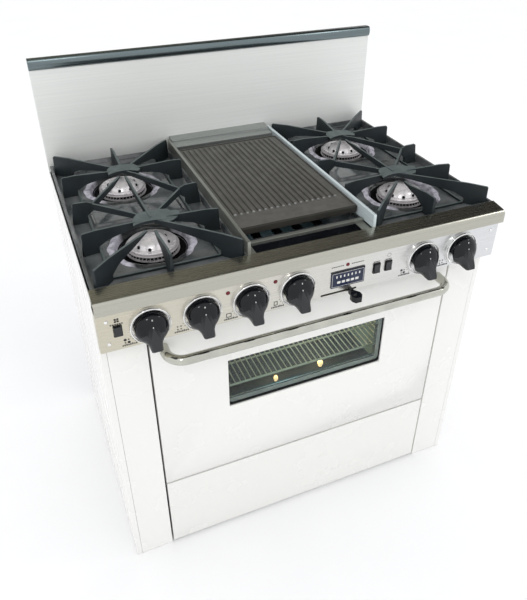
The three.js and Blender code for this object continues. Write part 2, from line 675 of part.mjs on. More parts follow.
// ---------------------------------------------------------------- oven door
function addDoor() {
  const width = [-DOOR_HALF, DOOR_HALF];
  const height = [DOOR_BOTTOM, DOOR_TOP];
  const opening = block(WINDOW.x, [-SHEET, DOOR_DEPTH + SHEET], WINDOW.z);
  const outer = block(width, [0, DOOR_SHELL_BACK], height);
  const hollow = block(
    [width[0] + SHEET, width[1] - SHEET],
    [SHEET, DOOR_SHELL_BACK + SHEET],
    [height[0] + SHEET, height[1] - SHEET],
  );
  const collar = block(
    [WINDOW.x[0] - SHEET, WINDOW.x[1] + SHEET],
    [SHEET / 2, DOOR_SHELL_BACK],
    [WINDOW.z[0] - SHEET, WINDOW.z[1] + SHEET],
  );
  addPart('door_shell', 'enamel', outer.subtract(hollow).add(collar).subtract(opening));
  addInnerPanel(opening);
  const paneX = [WINDOW.x[0] + GAP, WINDOW.x[1] - GAP];
  const paneZ = [WINDOW.z[0] + GAP, WINDOW.z[1] - GAP];
  for (const [name, paneY] of Object.entries(PANES)) {
    addPart(name, 'glass', block(paneX, paneY, paneZ));
  }
  addPart('door_handle', 'steel', handleTube());
  const hingeZ = HINGE.z.map((rise) => DOOR_BOTTOM + rise);
  for (const [name, side] of [['left', -1], ['right', 1]]) {
    const hingeX = mirroredRange(side, ...HINGE.x);
    addPart(`door_hinge_${name}`, 'galvanised', block(hingeX, HINGE.y, hingeZ));
  }
}

// The oven side of the door: a shallow pan, with a collar round the window.
function addInnerPanel(opening) {
  const y = [DOOR_SHELL_BACK + GAP, DOOR_DEPTH];
  const x = [3 - DOOR_HALF, DOOR_HALF - 3];
  const z = [DOOR_BOTTOM + 3, DOOR_TOP - 3];
  const hollow = block(
    [x[0] + WALL, x[1] - WALL], [y[0] - SHEET, y[1] - WALL], [z[0] + WALL, z[1] - WALL]);
  const collar = block(
    [WINDOW.x[0] - SHEET, WINDOW.x[1] + SHEET], y, [WINDOW.z[0] - SHEET, WINDOW.z[1] + SHEET]);
  addPart('door_inner_panel', 'cavity', block(x, y, z).subtract(hollow).add(collar).subtract(opening));
}

// A round tube: a bar across the door and two legs, joined by quarter bends.
function handleTube() {
  const corner = HANDLE_HALF - HANDLE_BEND;
  const legEnd = HANDLE_BEND - HANDLE_REACH;
  const pieces = [rodX(HANDLE_RADIUS, [-corner, corner], -HANDLE_REACH, HANDLE_HEIGHT, HANDLE_SIDES)];
  for (const side of [-1, 1]) {
    pieces.push(rodY(HANDLE_RADIUS, side * HANDLE_HALF, [legEnd, -GAP], HANDLE_HEIGHT, HANDLE_SIDES));
    pieces.push(handleBend(side, corner, legEnd));
  }
  return joined(pieces);
}

function handleBend(side, corner, legEnd) {
  const bend = new THREE.QuadraticBezierCurve3(
    new THREE.Vector3(side * HANDLE_HALF, legEnd + GAP, HANDLE_HEIGHT),
    new THREE.Vector3(side * HANDLE_HALF, -HANDLE_REACH, HANDLE_HEIGHT),
    new THREE.Vector3(side * (corner - GAP), -HANDLE_REACH, HANDLE_HEIGHT),
  );
  const section = new THREE.Shape();
  section.absarc(0, 0, HANDLE_RADIUS, 0, Math.PI * 2, false);
  const curveSegments = HANDLE_SIDES / 2;
  return toSolid(new THREE.ExtrudeGeometry(section, { extrudePath: bend, steps: 6, curveSegments }));
}

// ---------------------------------------------------------------- drawer
function addDrawer() {
  const width = [-DOOR_HALF, DOOR_HALF];
  const back = DRAWER_BOX.y[0] - GAP;
  const slab = block(width, [0, back], [DRAWER_BOTTOM, DRAWER_TOP]);
  const hollow = block(
    [width[0] + WALL, width[1] - WALL],
    [WALL, back + SHEET],
    [DRAWER_BOTTOM + WALL, DRAWER_TOP - WALL],
  );
  addPart('drawer_front', 'enamel', slab.subtract(hollow));
  addPart('drawer_box', 'galvanised', openBox(
    [-DRAWER_BOX.x, DRAWER_BOX.x], DRAWER_BOX.y, DRAWER_BOX.z, SHEET));
  const runnerX = RUNNER.x.map((out) => DRAWER_BOX.x + out);
  for (const [name, side] of [['left', -1], ['right', 1]]) {
    addPart(`drawer_runner_${name}`, 'galvanised', block(
      mirroredRange(side, ...runnerX), RUNNER.y, RUNNER.z));
  }
}

// ---------------------------------------------------------------- assembly
addCabinet();
addBackguard();
addLedge();
addRails();
addFlueCover();
addTray('burner_tray_left', -1);
addTray('burner_tray_right', 1);
for (const [end, side] of [['left', -1], ['right', 1]]) {
  addBurner(`${end}_front`, side, BURNER_Y.front, VENTURI_Z.front);
  addBurner(`${end}_rear`, side, BURNER_Y.rear, VENTURI_Z.rear);
}
addGrate('grate_left', [-GRATE.outer, -GRATE.inner]);
addGrate('grate_right', [GRATE.inner, GRATE.outer]);
addGrill();
addControlPanel();
KNOB_NAMES.forEach((name, i) => addKnob(name, KNOB_SLOTS[i]));
addGasTrain();
addOven();
addDoor();
addDrawer();

export default range;
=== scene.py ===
import math

import bmesh
import bpy
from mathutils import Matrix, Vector


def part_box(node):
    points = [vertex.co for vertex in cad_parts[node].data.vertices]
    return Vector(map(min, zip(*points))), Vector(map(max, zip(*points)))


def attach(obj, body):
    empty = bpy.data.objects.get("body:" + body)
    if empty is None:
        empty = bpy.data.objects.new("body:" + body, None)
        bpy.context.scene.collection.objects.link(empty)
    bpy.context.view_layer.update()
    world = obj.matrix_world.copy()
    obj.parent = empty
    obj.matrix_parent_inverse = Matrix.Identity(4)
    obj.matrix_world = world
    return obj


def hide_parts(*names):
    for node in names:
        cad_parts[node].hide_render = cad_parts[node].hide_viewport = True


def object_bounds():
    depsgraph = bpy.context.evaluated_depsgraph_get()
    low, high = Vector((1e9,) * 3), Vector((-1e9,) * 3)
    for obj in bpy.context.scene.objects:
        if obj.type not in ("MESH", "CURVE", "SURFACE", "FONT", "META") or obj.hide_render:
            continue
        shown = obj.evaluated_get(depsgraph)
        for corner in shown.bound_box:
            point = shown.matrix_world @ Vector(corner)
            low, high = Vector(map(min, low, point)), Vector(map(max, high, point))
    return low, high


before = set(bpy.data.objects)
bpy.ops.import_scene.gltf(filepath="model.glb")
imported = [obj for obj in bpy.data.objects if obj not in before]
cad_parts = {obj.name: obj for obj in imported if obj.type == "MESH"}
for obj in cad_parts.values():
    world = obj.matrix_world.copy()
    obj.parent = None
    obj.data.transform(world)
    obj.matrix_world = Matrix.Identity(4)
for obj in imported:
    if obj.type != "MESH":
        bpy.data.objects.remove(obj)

CAD_LOW, CAD_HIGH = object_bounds()
MM = 0.001

# ---- mesh helpers
PLACE = {
    "x": lambda u, v, w: Vector((w, u, v)),
    "y": lambda u, v, w: Vector((u, w, v)),
    "z": lambda u, v, w: Vector((u, v, w)),
}


def finish_piece(name, bm, material, body, stands_for=(), bevel=0.0, segments=3, sharp=32):
    """Turns a bmesh into a named piece that rides on a body."""
    bmesh.ops.recalc_face_normals(bm, faces=bm.faces)
    mesh = bpy.data.meshes.new(name)
    bm.to_mesh(mesh)
    bm.free()
    obj = bpy.data.objects.new(name, mesh)
    bpy.context.collection.objects.link(obj)
    mesh.materials.append(material)
    mesh.polygons.foreach_set("use_smooth", [True] * len(mesh.polygons))
    if bevel:
        edge = obj.modifiers.new("edges", "BEVEL")
        edge.width = bevel
        edge.segments = segments
        edge.limit_method = "ANGLE"
        edge.angle_limit = math.radians(sharp)
        edge.harden_normals = True
    else:
        mesh.set_sharp_from_angle(angle=math.radians(sharp))
    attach(obj, body)
    if stands_for:
        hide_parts(*stands_for)
    return obj


def middle_of(node):
    lo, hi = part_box(node)
    return (lo + hi) / 2


def in_mm(*pairs):
    """Outline points given in millimetres."""
    return [(u * MM, v * MM) for u, v in pairs]


def slab(bm, loops, axis, a, b):
    """A plate between two levels along an axis: the first loop is its outline, the others are holes."""
    rings = []
    for level in (a, b):
        edges, level_rings = [], []
        for loop in loops:
            verts = [bm.verts.new(PLACE[axis](u, v, level)) for u, v in loop]
            edges += [bm.edges.new((verts[i - 1], verts[i])) for i in range(len(verts))]
            level_rings.append(verts)
        bmesh.ops.triangle_fill(bm, use_beauty=True, use_dissolve=False, edges=edges)
        rings.append(level_rings)
    for low, high in zip(*rings):
        for i in range(len(low)):
            bm.faces.new((low[i - 1], low[i], high[i], high[i - 1]))


def cuboid(bm, lo, hi):
    outline = [(lo[0], lo[1]), (hi[0], lo[1]), (hi[0], hi[1]), (lo[0], hi[1])]
    slab(bm, [outline], "z", lo[2], hi[2])


def round_rect(u0, u1, v0, v1, radius, steps=5):
    points = []
    corners = [(u1, v0, -90), (u1, v1, 0), (u0, v1, 90), (u0, v0, 180)]
    for u, v, start in corners:
        cu = u - radius if u == u1 else u + radius
        cv = v - radius if v == v1 else v + radius
        for k in range(steps + 1):
            turn = math.radians(start + 90 * k / steps)
            points.append((cu + radius * math.cos(turn), cv + radius * math.sin(turn)))
    return points


def circle(u, v, radius, steps=32):
    turns = [2 * math.pi * k / steps for k in range(steps)]
    return [(u + radius * math.cos(t), v + radius * math.sin(t)) for t in turns]


def lathe(bm, profile, centre, axis="z", steps=64, closed=False, ripple=None):
    """Turns a profile of (radius, height) about an axis. ripple(k, row, radius) gives a changed radius."""
    rings = []
    for row, (radius, height) in enumerate(profile):
        if radius < 1e-7:
            rings.append([bm.verts.new(centre + PLACE[axis](0, 0, height))])
            continue
        ring = []
        for k in range(steps):
            r = ripple(k, row, radius) if ripple else radius
            t = 2 * math.pi * k / steps
            ring.append(bm.verts.new(centre + PLACE[axis](r * math.cos(t), r * math.sin(t), height)))
        rings.append(ring)
    pairs = list(zip(rings, rings[1:]))
    if closed:
        pairs.append((rings[-1], rings[0]))
    for low, high in pairs:
        if len(low) == 1 and len(high) == 1:
            continue
        for k in range(steps):
            n = (k + 1) % steps
            quad = [low[k % len(low)], low[n % len(low)], high[n % len(high)], high[k % len(high)]]
            bm.faces.new(list(dict.fromkeys(quad)))


def bridge(bm, rings):
    """Faces between rings of equally many points, then a face over each end. Returns the last one."""
    for low, high in zip(rings, rings[1:]):
        for k in range(len(low)):
            bm.faces.new((low[k - 1], low[k], high[k], high[k - 1]))
    bm.faces.new(rings[0])
    return bm.faces.new(rings[-1][::-1])


def sweep(bm, points, radius, sides=12):
    """A round rod along a path of points, with flat ends."""
    path = [Vector(p) for p in points]
    side = None
    rings = []
    for i, point in enumerate(path):
        ahead = path[min(i + 1, len(path) - 1)] - path[max(i - 1, 0)]
        ahead.normalize()
        if side is None:
            side = ahead.cross(Vector((0.31, 0.17, 0.93))).normalized()
        side = (side - ahead * side.dot(ahead)).normalized()
        up = ahead.cross(side)
        ring = []
        for k in range(sides):
            t = 2 * math.pi * k / sides
            ring.append(bm.verts.new(point + radius * (side * math.cos(t) + up * math.sin(t))))
        rings.append(ring)
    bridge(bm, rings)


def fused(parts):
    """Joins closed shells into one skin without inner walls."""
    made = []
    for bm in parts:
        bmesh.ops.recalc_face_normals(bm, faces=bm.faces)
        mesh = bpy.data.meshes.new("part")
        bm.to_mesh(mesh)
        bm.free()
        made.append(bpy.data.objects.new("part", mesh))
        bpy.context.collection.objects.link(made[-1])
    for other in made[1:]:
        join = made[0].modifiers.new("join", "BOOLEAN")
        join.operation = "UNION"
        join.solver = "MANIFOLD"
        join.object = other
    graph = bpy.context.evaluated_depsgraph_get()
    joined = bpy.data.meshes.new_from_object(made[0].evaluated_get(graph))
    for obj in made:
        mesh = obj.data
        bpy.data.objects.remove(obj)
        bpy.data.meshes.remove(mesh)
    bm = bmesh.new()
    bm.from_mesh(joined)
    bpy.data.meshes.remove(joined)
    bmesh.ops.remove_doubles(bm, verts=bm.verts, dist=2e-5)
    bmesh.ops.dissolve_limit(bm, angle_limit=math.radians(1), verts=bm.verts, edges=bm.edges)
    return bm


def refined(node, material, body, bevel):
    """A cleaned copy of a CAD node with rounded edges, standing for it."""
    bm = bmesh.new()
    bm.from_mesh(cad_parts[node].data)
    bmesh.ops.remove_doubles(bm, verts=bm.verts, dist=1e-5)
    bmesh.ops.dissolve_limit(bm, angle_limit=math.radians(0.5), verts=bm.verts, edges=bm.edges)
    return finish_piece(f"{node}_skin", bm, material, body, [node], bevel)


# ---- material helpers
def shade(tone, share):
    return tuple(t * share for t in tone)


class Look:
    """A procedural material: object coordinates feed noises, which feed colour, roughness and bump."""

    def __init__(self, name, **sockets):
        self.material = bpy.data.materials.new(name)
        self.material.use_nodes = True
        self.nodes = self.material.node_tree.nodes
        self.links = self.material.node_tree.links
        self.shader = self.nodes["Principled BSDF"]
        for socket, value in sockets.items():
            self.shader.inputs[socket.replace("_", " ")].default_value = value
        self.spot = self.nodes.new("ShaderNodeTexCoord").outputs["Object"]
        self.normal = None

    def node(self, kind, **settings):
        made = self.nodes.new("ShaderNode" + kind)
        for key, value in settings.items():
            setattr(made, key, value)
        return made

    def noise(self, scale, stretch=(1, 1, 1), detail=4.0, kind="Fac"):
        mapping = self.node("Mapping")
        mapping.inputs["Scale"].default_value = stretch
        self.links.new(self.spot, mapping.inputs["Vector"])
        noise = self.node("TexNoise")
        noise.inputs["Scale"].default_value = scale
        noise.inputs["Detail"].default_value = detail
        self.links.new(mapping.outputs["Vector"], noise.inputs["Vector"])
        return noise.outputs[kind]

    def ramp(self, source, stops):
        ramp = self.node("ValToRGB")
        elements = ramp.color_ramp.elements
        while len(elements) < len(stops):
            elements.new(0.5)
        for element, (place, colour) in zip(elements, stops):
            element.position = place
            element.color = (*colour, 1)
        self.links.new(source, ramp.inputs["Fac"])
        return ramp.outputs["Color"]

    def mottle(self, source, first, second, start=0.3, end=0.7):
        return self.ramp(source, [(start, first), (end, second)])

    def spread(self, source, low, high, start=0.3, end=0.7):
        spread = self.node("MapRange")
        for key, value in (("From Min", start), ("From Max", end), ("To Min", low), ("To Max", high)):
            spread.inputs[key].default_value = value
        self.links.new(source, spread.inputs["Value"])
        return spread.outputs["Result"]

    def mix(self, factor, first, second):
        mix = self.node("Mix", data_type="RGBA")
        self.links.new(factor, mix.inputs["Factor"])
        self.links.new(first, mix.inputs["A"])
        self.links.new(second, mix.inputs["B"])
        return mix.outputs["Result"]

    def put(self, socket, source):
        self.links.new(source, self.shader.inputs[socket])
        return self

    def bump(self, source, strength, distance):
        bump = self.node("Bump")
        bump.inputs["Strength"].default_value = strength
        bump.inputs["Distance"].default_value = distance
        self.links.new(source, bump.inputs["Height"])
        if self.normal:
            self.links.new(self.normal, bump.inputs["Normal"])
        self.normal = bump.outputs["Normal"]
        self.links.new(self.normal, self.shader.inputs["Normal"])
        return self

    def upward(self, low, high):
        """0 on sides and 1 on faces that look up."""
        split = self.node("SeparateXYZ")
        self.links.new(self.node("NewGeometry").outputs["True Normal"], split.inputs["Vector"])
        return self.spread(split.outputs["Z"], 0, 1, low, high)


def enamel(name, tone):
    look = Look(name, Metallic=0.0, Coat_Weight=0.35, Coat_Roughness=0.08)
    cloud = look.noise(1.7, detail=2)
    darker = shade(tone, 0.99)
    look.put("Base Color", look.mottle(cloud, darker, tone))
    look.put("Roughness", look.spread(look.noise(9), 0.24, 0.29))
    look.bump(look.noise(180, detail=1), 0.02, 0.0003)
    return look.material


def brushed(name, tone, along="x", rough=(0.24, 0.36), tint=None, metallic=1.0, painted_reflection_tone=None):
    """Stainless with fine grain along one axis, and faint broad clouds; a tone given for the right-hand side
    is a painted reflection that the colour fades into across x.
    """
    look = Look(name, Metallic=metallic)
    stretch = {"x": (1.2, 260, 260), "y": (260, 1.2, 260), "z": (260, 260, 1.2)}[along]
    grain = look.noise(3.0, stretch, 6)
    cloud = look.noise(2.4, detail=3)
    darker = shade(tone, 0.9)
    base = look.mottle(grain, darker, tone)
    warm = tint or shade(tone, 0.94)
    colour = look.mix(look.spread(cloud, 0, 0.7), base, look.mottle(grain, darker, warm))
    # Painted reflection: the colour fades across x into a paler, greyer tone.
    if painted_reflection_tone:
        split = look.node("SeparateXYZ")
        look.links.new(look.spot, split.inputs["Vector"])
        far = look.mottle(grain, shade(painted_reflection_tone, 0.93), painted_reflection_tone)
        colour = look.mix(look.spread(split.outputs["X"], 0, 1, -0.42, 0.4), colour, far)
    look.put("Base Color", colour)
    look.put("Roughness", look.spread(look.noise(5.0, stretch, 5), *rough))
    look.bump(grain, 0.08, 0.0002)
    return look.material


def cast_iron(name, tone, dust_and_lit_top_tone, rough=(0.42, 0.6), grit=900, specular=0.35):
    """Cast iron: dark sides, with the faces that look up painted lighter, partly dust and partly painted
    light on the tops.
    """
    look = Look(name, Metallic=0.0, Specular_IOR_Level=specular)
    patch = look.noise(26, detail=5)
    base = look.mottle(patch, shade(tone, 0.72), tone)
    # Paler tone for the upward faces: painted light on the tops, partly dust.
    worn = look.mottle(look.noise(60, detail=3), shade(dust_and_lit_top_tone, 0.7), dust_and_lit_top_tone)
    look.put("Base Color", look.mix(look.upward(0.75, 0.98), base, worn))
    look.put("Roughness", look.spread(look.noise(40), *rough))
    look.bump(look.noise(grit, detail=3), 0.28, 0.0005)
    look.bump(look.noise(120, detail=2), 0.12, 0.0006)
    return look.material


def porcelain(name, tone, light, rough=(0.16, 0.3), coat=0.5):
    look = Look(name, Metallic=0.0, Coat_Weight=coat, Coat_Roughness=0.12, Specular_IOR_Level=0.7)
    speck = look.noise(700, detail=1)
    cloud = look.noise(14, detail=4)
    base = look.mottle(cloud, tone, light, 0.3, 0.75)
    flecks = look.mottle(speck, shade(tone, 0.8), light, 0.3, 0.72)
    look.put("Base Color", look.mix(look.spread(speck, 0, 0.5, 0.62, 0.7), base, flecks))
    look.put("Roughness", look.spread(look.noise(30), *rough))
    look.bump(look.noise(160, detail=2), 0.08, 0.0005)
    return look.material


BURNER_X = middle_of("burner_cap_right_front").x


def rim_porcelain(name, tone, pale):
    """Grey porcelain with a painted pale highlight on the left and right of each burner."""
    look = Look(name, Metallic=0.0, Coat_Weight=0.5, Coat_Roughness=0.1)
    split = look.node("SeparateXYZ")
    look.links.new(look.spot, split.inputs["Vector"])
    side = look.node("Math", operation="ABSOLUTE")
    look.links.new(split.outputs["X"], side.inputs[0])
    offset = look.node("Math", operation="SUBTRACT")
    offset.inputs[1].default_value = BURNER_X
    look.links.new(side.outputs["Value"], offset.inputs[0])
    size = look.node("Math", operation="ABSOLUTE")
    look.links.new(offset.outputs["Value"], size.inputs[0])
    cloud = look.noise(90, detail=3)
    base = look.mottle(cloud, shade(tone, 0.6), tone)
    # The pale tone is a painted highlight, laid on the left and right of each burner.
    worn = look.mottle(cloud, shade(pale, 0.55), pale, 0.35, 0.55)
    look.put("Base Color", look.mix(look.spread(size.outputs["Value"], 0, 1, 0.05, 0.062), base, worn))
    look.put("Roughness", look.spread(look.noise(40), 0.14, 0.3))
    look.bump(look.noise(120, detail=2), 0.1, 0.0006)
    return look.material


def moulded(name, tone, rough=(0.12, 0.22), grain=0.05, specular=0.5):
    look = Look(name, Metallic=0.0, Specular_IOR_Level=specular)
    cloud = look.noise(60, detail=3)
    look.put("Base Color", look.mottle(cloud, shade(tone, 0.8), tone))
    look.put("Roughness", look.spread(look.noise(90), *rough))
    look.bump(look.noise(600, detail=2), grain, 0.0003)
    return look.material


def turned_metal(name, tone, rough=(0.22, 0.38), grit=350, depth=0.18, metallic=1.0):
    look = Look(name, Metallic=metallic)
    cloud = look.noise(22, detail=4)
    look.put("Base Color", look.mottle(cloud, shade(tone, 0.82), tone))
    look.put("Roughness", look.spread(look.noise(55), *rough))
    look.bump(look.noise(grit, detail=3), depth, 0.0004)
    return look.material


def clear_glass(name):
    look = Look(name, Metallic=0.0, IOR=1.22, Transmission_Weight=1.0)
    smear = look.noise(7, detail=3)
    look.put("Base Color", look.mottle(smear, (0.83, 0.93, 0.93), (0.9, 0.96, 0.96)))
    look.put("Roughness", look.spread(smear, 0.0, 0.03))
    return look.material


def printed(name, tone):
    look = Look(name, Metallic=0.0)
    look.put("Base Color", look.mottle(look.noise(400), shade(tone, 0.7), tone))
    look.put("Roughness", look.spread(look.noise(200), 0.4, 0.6))
    return look.material


def glowing(name, tone, strength):
    look = Look(name, Metallic=0.0, Roughness=0.1, Emission_Strength=strength)
    look.put("Base Color", look.mottle(look.noise(300), shade(tone, 0.7), tone))
    look.shader.inputs["Emission Color"].default_value = (*tone, 1)
    look.bump(look.noise(500), 0.05, 0.0003)
    return look.material


WHITE = enamel("white_enamel", (0.86, 0.857, 0.83))
DRAWER_WHITE = enamel("drawer_enamel", (0.83, 0.827, 0.80))
# The control panel fades paler and greyer towards the right: a painted reflection.
STEEL = brushed("steel_panel", (0.62, 0.59, 0.49), tint=(0.6, 0.55, 0.43), painted_reflection_tone=(0.72, 0.73, 0.74))
GUARD_STEEL = brushed("steel_guard", (0.83, 0.845, 0.825), rough=(0.55, 0.66),
                      tint=(0.78, 0.785, 0.74), metallic=0.1)
# The stainless trim is coloured dark blue-grey: a painted dark reflection.
TRIM_STEEL = brushed("steel_trim_painted_dark_reflection", (0.17, 0.21, 0.22), rough=(0.2, 0.3))
LEDGE_STEEL = brushed("steel_ledge", (0.5, 0.49, 0.43), rough=(0.2, 0.3))
# The two grill rails are one kind of steel drawn as a darker and a brighter copy: painted reflection on each.
# The front bar frame also takes the darker copy.
RAIL_STEEL = brushed("steel_rail", (0.3, 0.31, 0.28), along="y", rough=(0.3, 0.42), metallic=0.7)
LIT_RAIL_STEEL = brushed("steel_rail_painted_bright", (0.66, 0.74, 0.76), along="y", metallic=0.25)
FLUE_STEEL = brushed("steel_flue", (0.34, 0.36, 0.345), rough=(0.25, 0.35), metallic=0.7)
TUBE_STEEL = turned_metal("steel_tube", (0.56, 0.56, 0.5), (0.1, 0.16), 200, 0.02)
CHROME = turned_metal("bezel_chrome", (0.93, 0.93, 0.92), (0.04, 0.1), 300, 0.03, 0.75)
WIRE_CHROME = turned_metal("rack_chrome_wire", (0.86, 0.8, 0.6), (0.15, 0.25), 300, 0.05, 0.45)
IRON = cast_iron("grate_iron_cast", (0.017, 0.024, 0.027), (0.1, 0.125, 0.125))
PLATE_IRON = cast_iron("plate_iron_cast", (0.035, 0.033, 0.028), (0.1, 0.096, 0.085), (0.34, 0.5))
TRAY = porcelain("tray_porcelain", (0.03, 0.036, 0.038), (0.16, 0.168, 0.17), (0.08, 0.2), 0.2)
TROUGH = porcelain("trough_porcelain", (0.012, 0.014, 0.018), (0.03, 0.034, 0.042))
BOWL_RIM = rim_porcelain("bowl_rim_porcelain_painted_highlight", (0.04, 0.044, 0.046), (0.55, 0.53, 0.6))
OVEN = porcelain("oven_porcelain", (0.04, 0.065, 0.075), (0.075, 0.11, 0.125), (0.08, 0.16))
BURNT = moulded("burnt_steel", (0.02, 0.021, 0.02), (0.6, 0.8), 0.3, 0.1)
OVEN_FLOOR = moulded("oven_floor_enamel", (0.01, 0.013, 0.018), (0.25, 0.4), 0.1, 0.25)
ALUMINIUM = turned_metal("burner_cast", (0.6, 0.57, 0.58), (0.34, 0.5), 420, 0.25, 0.5)
POLISHED = turned_metal("burner_polished", (0.84, 0.81, 0.82), (0.2, 0.32), 500, 0.1, 0.4)
# Near-black for the burner wells and the deep parts of the trays: painted shade in the recesses.
WELL_SHADE = moulded("well_painted_shade", (0.006, 0.006, 0.007), (0.5, 0.7), 0.1, 0.06)
BLACK = moulded("knob_gloss", (0.004, 0.005, 0.007), (0.06, 0.12), 0.05, 0.32)
# Matt black for the switch rockers; on the lower front of each knob its lighter tone is a painted reflection.
MATT_BLACK = moulded("matt_black_and_knob_painted_reflection", (0.016, 0.018, 0.02), (0.3, 0.42), 0.12)
RED = glowing("lamp_red", (0.16, 0.006, 0.012), 0.05)
BLUE = moulded("badge_blue_paint", (0.006, 0.014, 0.05), (0.3, 0.4))
GALVANISED = turned_metal("galvanised_sheet", (0.55, 0.57, 0.58), (0.36, 0.55), 60, 0.1)
BRASS = turned_metal("valve_brass", (0.6, 0.44, 0.18))
# Paler iron for the sloping rib ends; like the other cast iron, its upward faces are painted lighter.
RIB_END = cast_iron("plate_iron_rib_ends_paler", (0.12, 0.12, 0.115), (0.3, 0.3, 0.29), (0.25, 0.4))
GLASS = clear_glass("window_glass")
PRINT = printed("panel_print", (0.02, 0.02, 0.02))
MARK = printed("pointer_print", (0.85, 0.85, 0.82))
# Black rubber for the window gasket; on the burner ports and in the notches of the burner heads it is painted
# shade.
RUBBER_AND_SHADE = moulded("gasket_black_and_painted_shade", (0.008, 0.009, 0.01), (0.5, 0.7), 0.2, 0.1)
BULB = glowing("lamp_warm", (1.0, 0.72, 0.38), 14.0)
# Warm glow for the shapes on the oven floor: painted glows, not a lamp.
PAINTED_GLOW = glowing("painted_glow_warm", (1.0, 0.7, 0.36), 1.1)

# ---- camera, floor and light
CAMERA_SPOT = (-0.51783, -1.22039, 1.46117)
CAMERA_TILT = 56.738
CAMERA_TURN = -22.801
CAMERA_LENS = 37.10
CAMERA_SENSOR = 36
CAMERA_SHIFT = (0.0023, -0.0541)
FLOOR_HALF = 40
FLOOR_GAP = 0.5 * MM
SKY_TONE = (0.985, 0.99, 1.0, 1)
SKY_STRENGTH = 1.08
LIGHT_AIM = Vector((0, 0, 0.6))
# name, place, size and power of each light
STUDIO_LIGHTS = (("key", (-1.3, -2.2, 3.2), 0.4, 9), ("fill", (2.2, -1.0, 2.6), 0.35, 5))
# name, place, half sizes and tilt of each dark card, which only reflections see
DARK_CARDS = (("dark_card", (1.0, 2.0, 3.5), (6, 2.2), 90), ("dark_ceiling", (0.5, 0.5, 5.6), (6, 1.6), 0))
CARD_SHADES = [(0, (0.3, 0.29, 0.23)), (0.5, (0.17, 0.165, 0.14)), (1, (0.05, 0.047, 0.042))]


def make_camera():
    data = bpy.data.cameras.new("camera")
    data.lens = CAMERA_LENS
    data.sensor_width = CAMERA_SENSOR
    data.shift_x, data.shift_y = CAMERA_SHIFT
    camera = bpy.data.objects.new("camera", data)
    camera.location = CAMERA_SPOT
    camera.rotation_euler = (math.radians(CAMERA_TILT), 0, math.radians(CAMERA_TURN))
    bpy.context.collection.objects.link(camera)
    bpy.context.scene.camera = camera


def flat_sheet(name, half, material):
    """A square sheet of the set, which isn't part of the object."""
    bm = bmesh.new()
    bmesh.ops.create_grid(bm, x_segments=1, y_segments=1, size=half)
    mesh = bpy.data.meshes.new(name)
    bm.to_mesh(mesh)
    bm.free()
    mesh.materials.append(material)
    sheet = bpy.data.objects.new(name, mesh)
    bpy.context.collection.objects.link(sheet)
    return sheet


def make_floor():
    look = Look("floor_pale", Metallic=0.0)
    pale = [(0.3, (0.93, 0.93, 0.935)), (0.7, (0.945, 0.945, 0.95))]
    look.put("Base Color", look.ramp(look.noise(3), pale))
    look.put("Roughness", look.spread(look.noise(12), 0.7, 0.85))
    look.bump(look.noise(40), 0.02, 0.001)
    flat_sheet("floor", FLOOR_HALF, look.material).location.z = CAD_LOW.z - FLOOR_GAP


def make_cards():
    look = Look("card_dark", Metallic=0.0, Roughness=1.0, Specular_IOR_Level=0.0)
    split = look.node("SeparateXYZ")
    look.links.new(look.spot, split.inputs["Vector"])
    across = look.spread(split.outputs["X"], 0, 1, -0.3, 0.3)
    look.put("Base Color", look.ramp(across, CARD_SHADES))
    for name, spot, half, tilt in DARK_CARDS:
        card = flat_sheet(name, 1, look.material)
        card.scale = (*half, 1)
        card.location = spot
        card.rotation_euler = (math.radians(tilt), 0, 0)
        card.visible_camera = card.visible_diffuse = card.visible_shadow = False


def make_lights():
    world = bpy.data.worlds.new("studio")
    world.use_nodes = True
    sky = world.node_tree.nodes["Background"]
    sky.inputs["Color"].default_value = SKY_TONE
    sky.inputs["Strength"].default_value = SKY_STRENGTH
    bpy.context.scene.world = world
    for name, spot, size, power in STUDIO_LIGHTS:
        light = bpy.data.lights.new(name, "AREA")
        light.shape = "SQUARE"
        light.size = size
        light.energy = power
        lamp = bpy.data.objects.new(name, light)
        lamp.location = spot
        lamp.rotation_euler = (LIGHT_AIM - Vector(spot)).to_track_quat("-Z", "Y").to_euler()
        bpy.context.collection.objects.link(lamp)
    bpy.context.scene.view_settings.view_transform = "Standard"


# ---- cabinet
LEDGE_NOSE = 11 * MM
LEDGE_GAUGE = 2 * MM
LEDGE_FALL = 4.6 * MM


def make_ledge():
    """The rolled steel front edge of the cooktop, folded from one sheet."""
    lo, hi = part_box("front_ledge")
    nose, gauge, bend_top = LEDGE_NOSE, LEDGE_GAUGE, hi.z - LEDGE_FALL
    outer = [(hi.y, hi.z), (lo.y + nose + 2 * MM, hi.z - 4.2 * MM)]
    for k in range(1, 9):
        turn = math.radians(8 + 82 * k / 8)
        outer.append((lo.y + nose - nose * math.sin(turn), bend_top - nose * (1 - math.cos(turn))))
    outer.append((lo.y, lo.z))
    inner = [(lo.y + gauge, lo.z), (lo.y + gauge, bend_top - nose), (lo.y + nose, bend_top - gauge),
             (hi.y, hi.z - gauge)]
    bm = bmesh.new()
    slab(bm, [outer + inner], "x", lo.x, hi.x)
    finish_piece("front_ledge_folded", bm, LEDGE_STEEL, "range_body", ["front_ledge"], sharp=30)


# node, material, slot and edge rounding in mm
SIDE_SKINS = (("side_panel", WHITE, "white_enamel", 0.7), ("front_column", WHITE, "white_enamel", 0.9),
              ("door_hinge", GALVANISED, "galvanised", 1), ("drawer_runner", GALVANISED, "galvanised", 1))
BACK_SKINS = (("back_panel", GALVANISED, "galvanised", 0.7), ("base_pan", GALVANISED, "galvanised", 0.7),
              ("backguard_panel", GUARD_STEEL, "stainless", 1.2),
              ("backguard_trim", TRIM_STEEL, "stainless", 0.6))


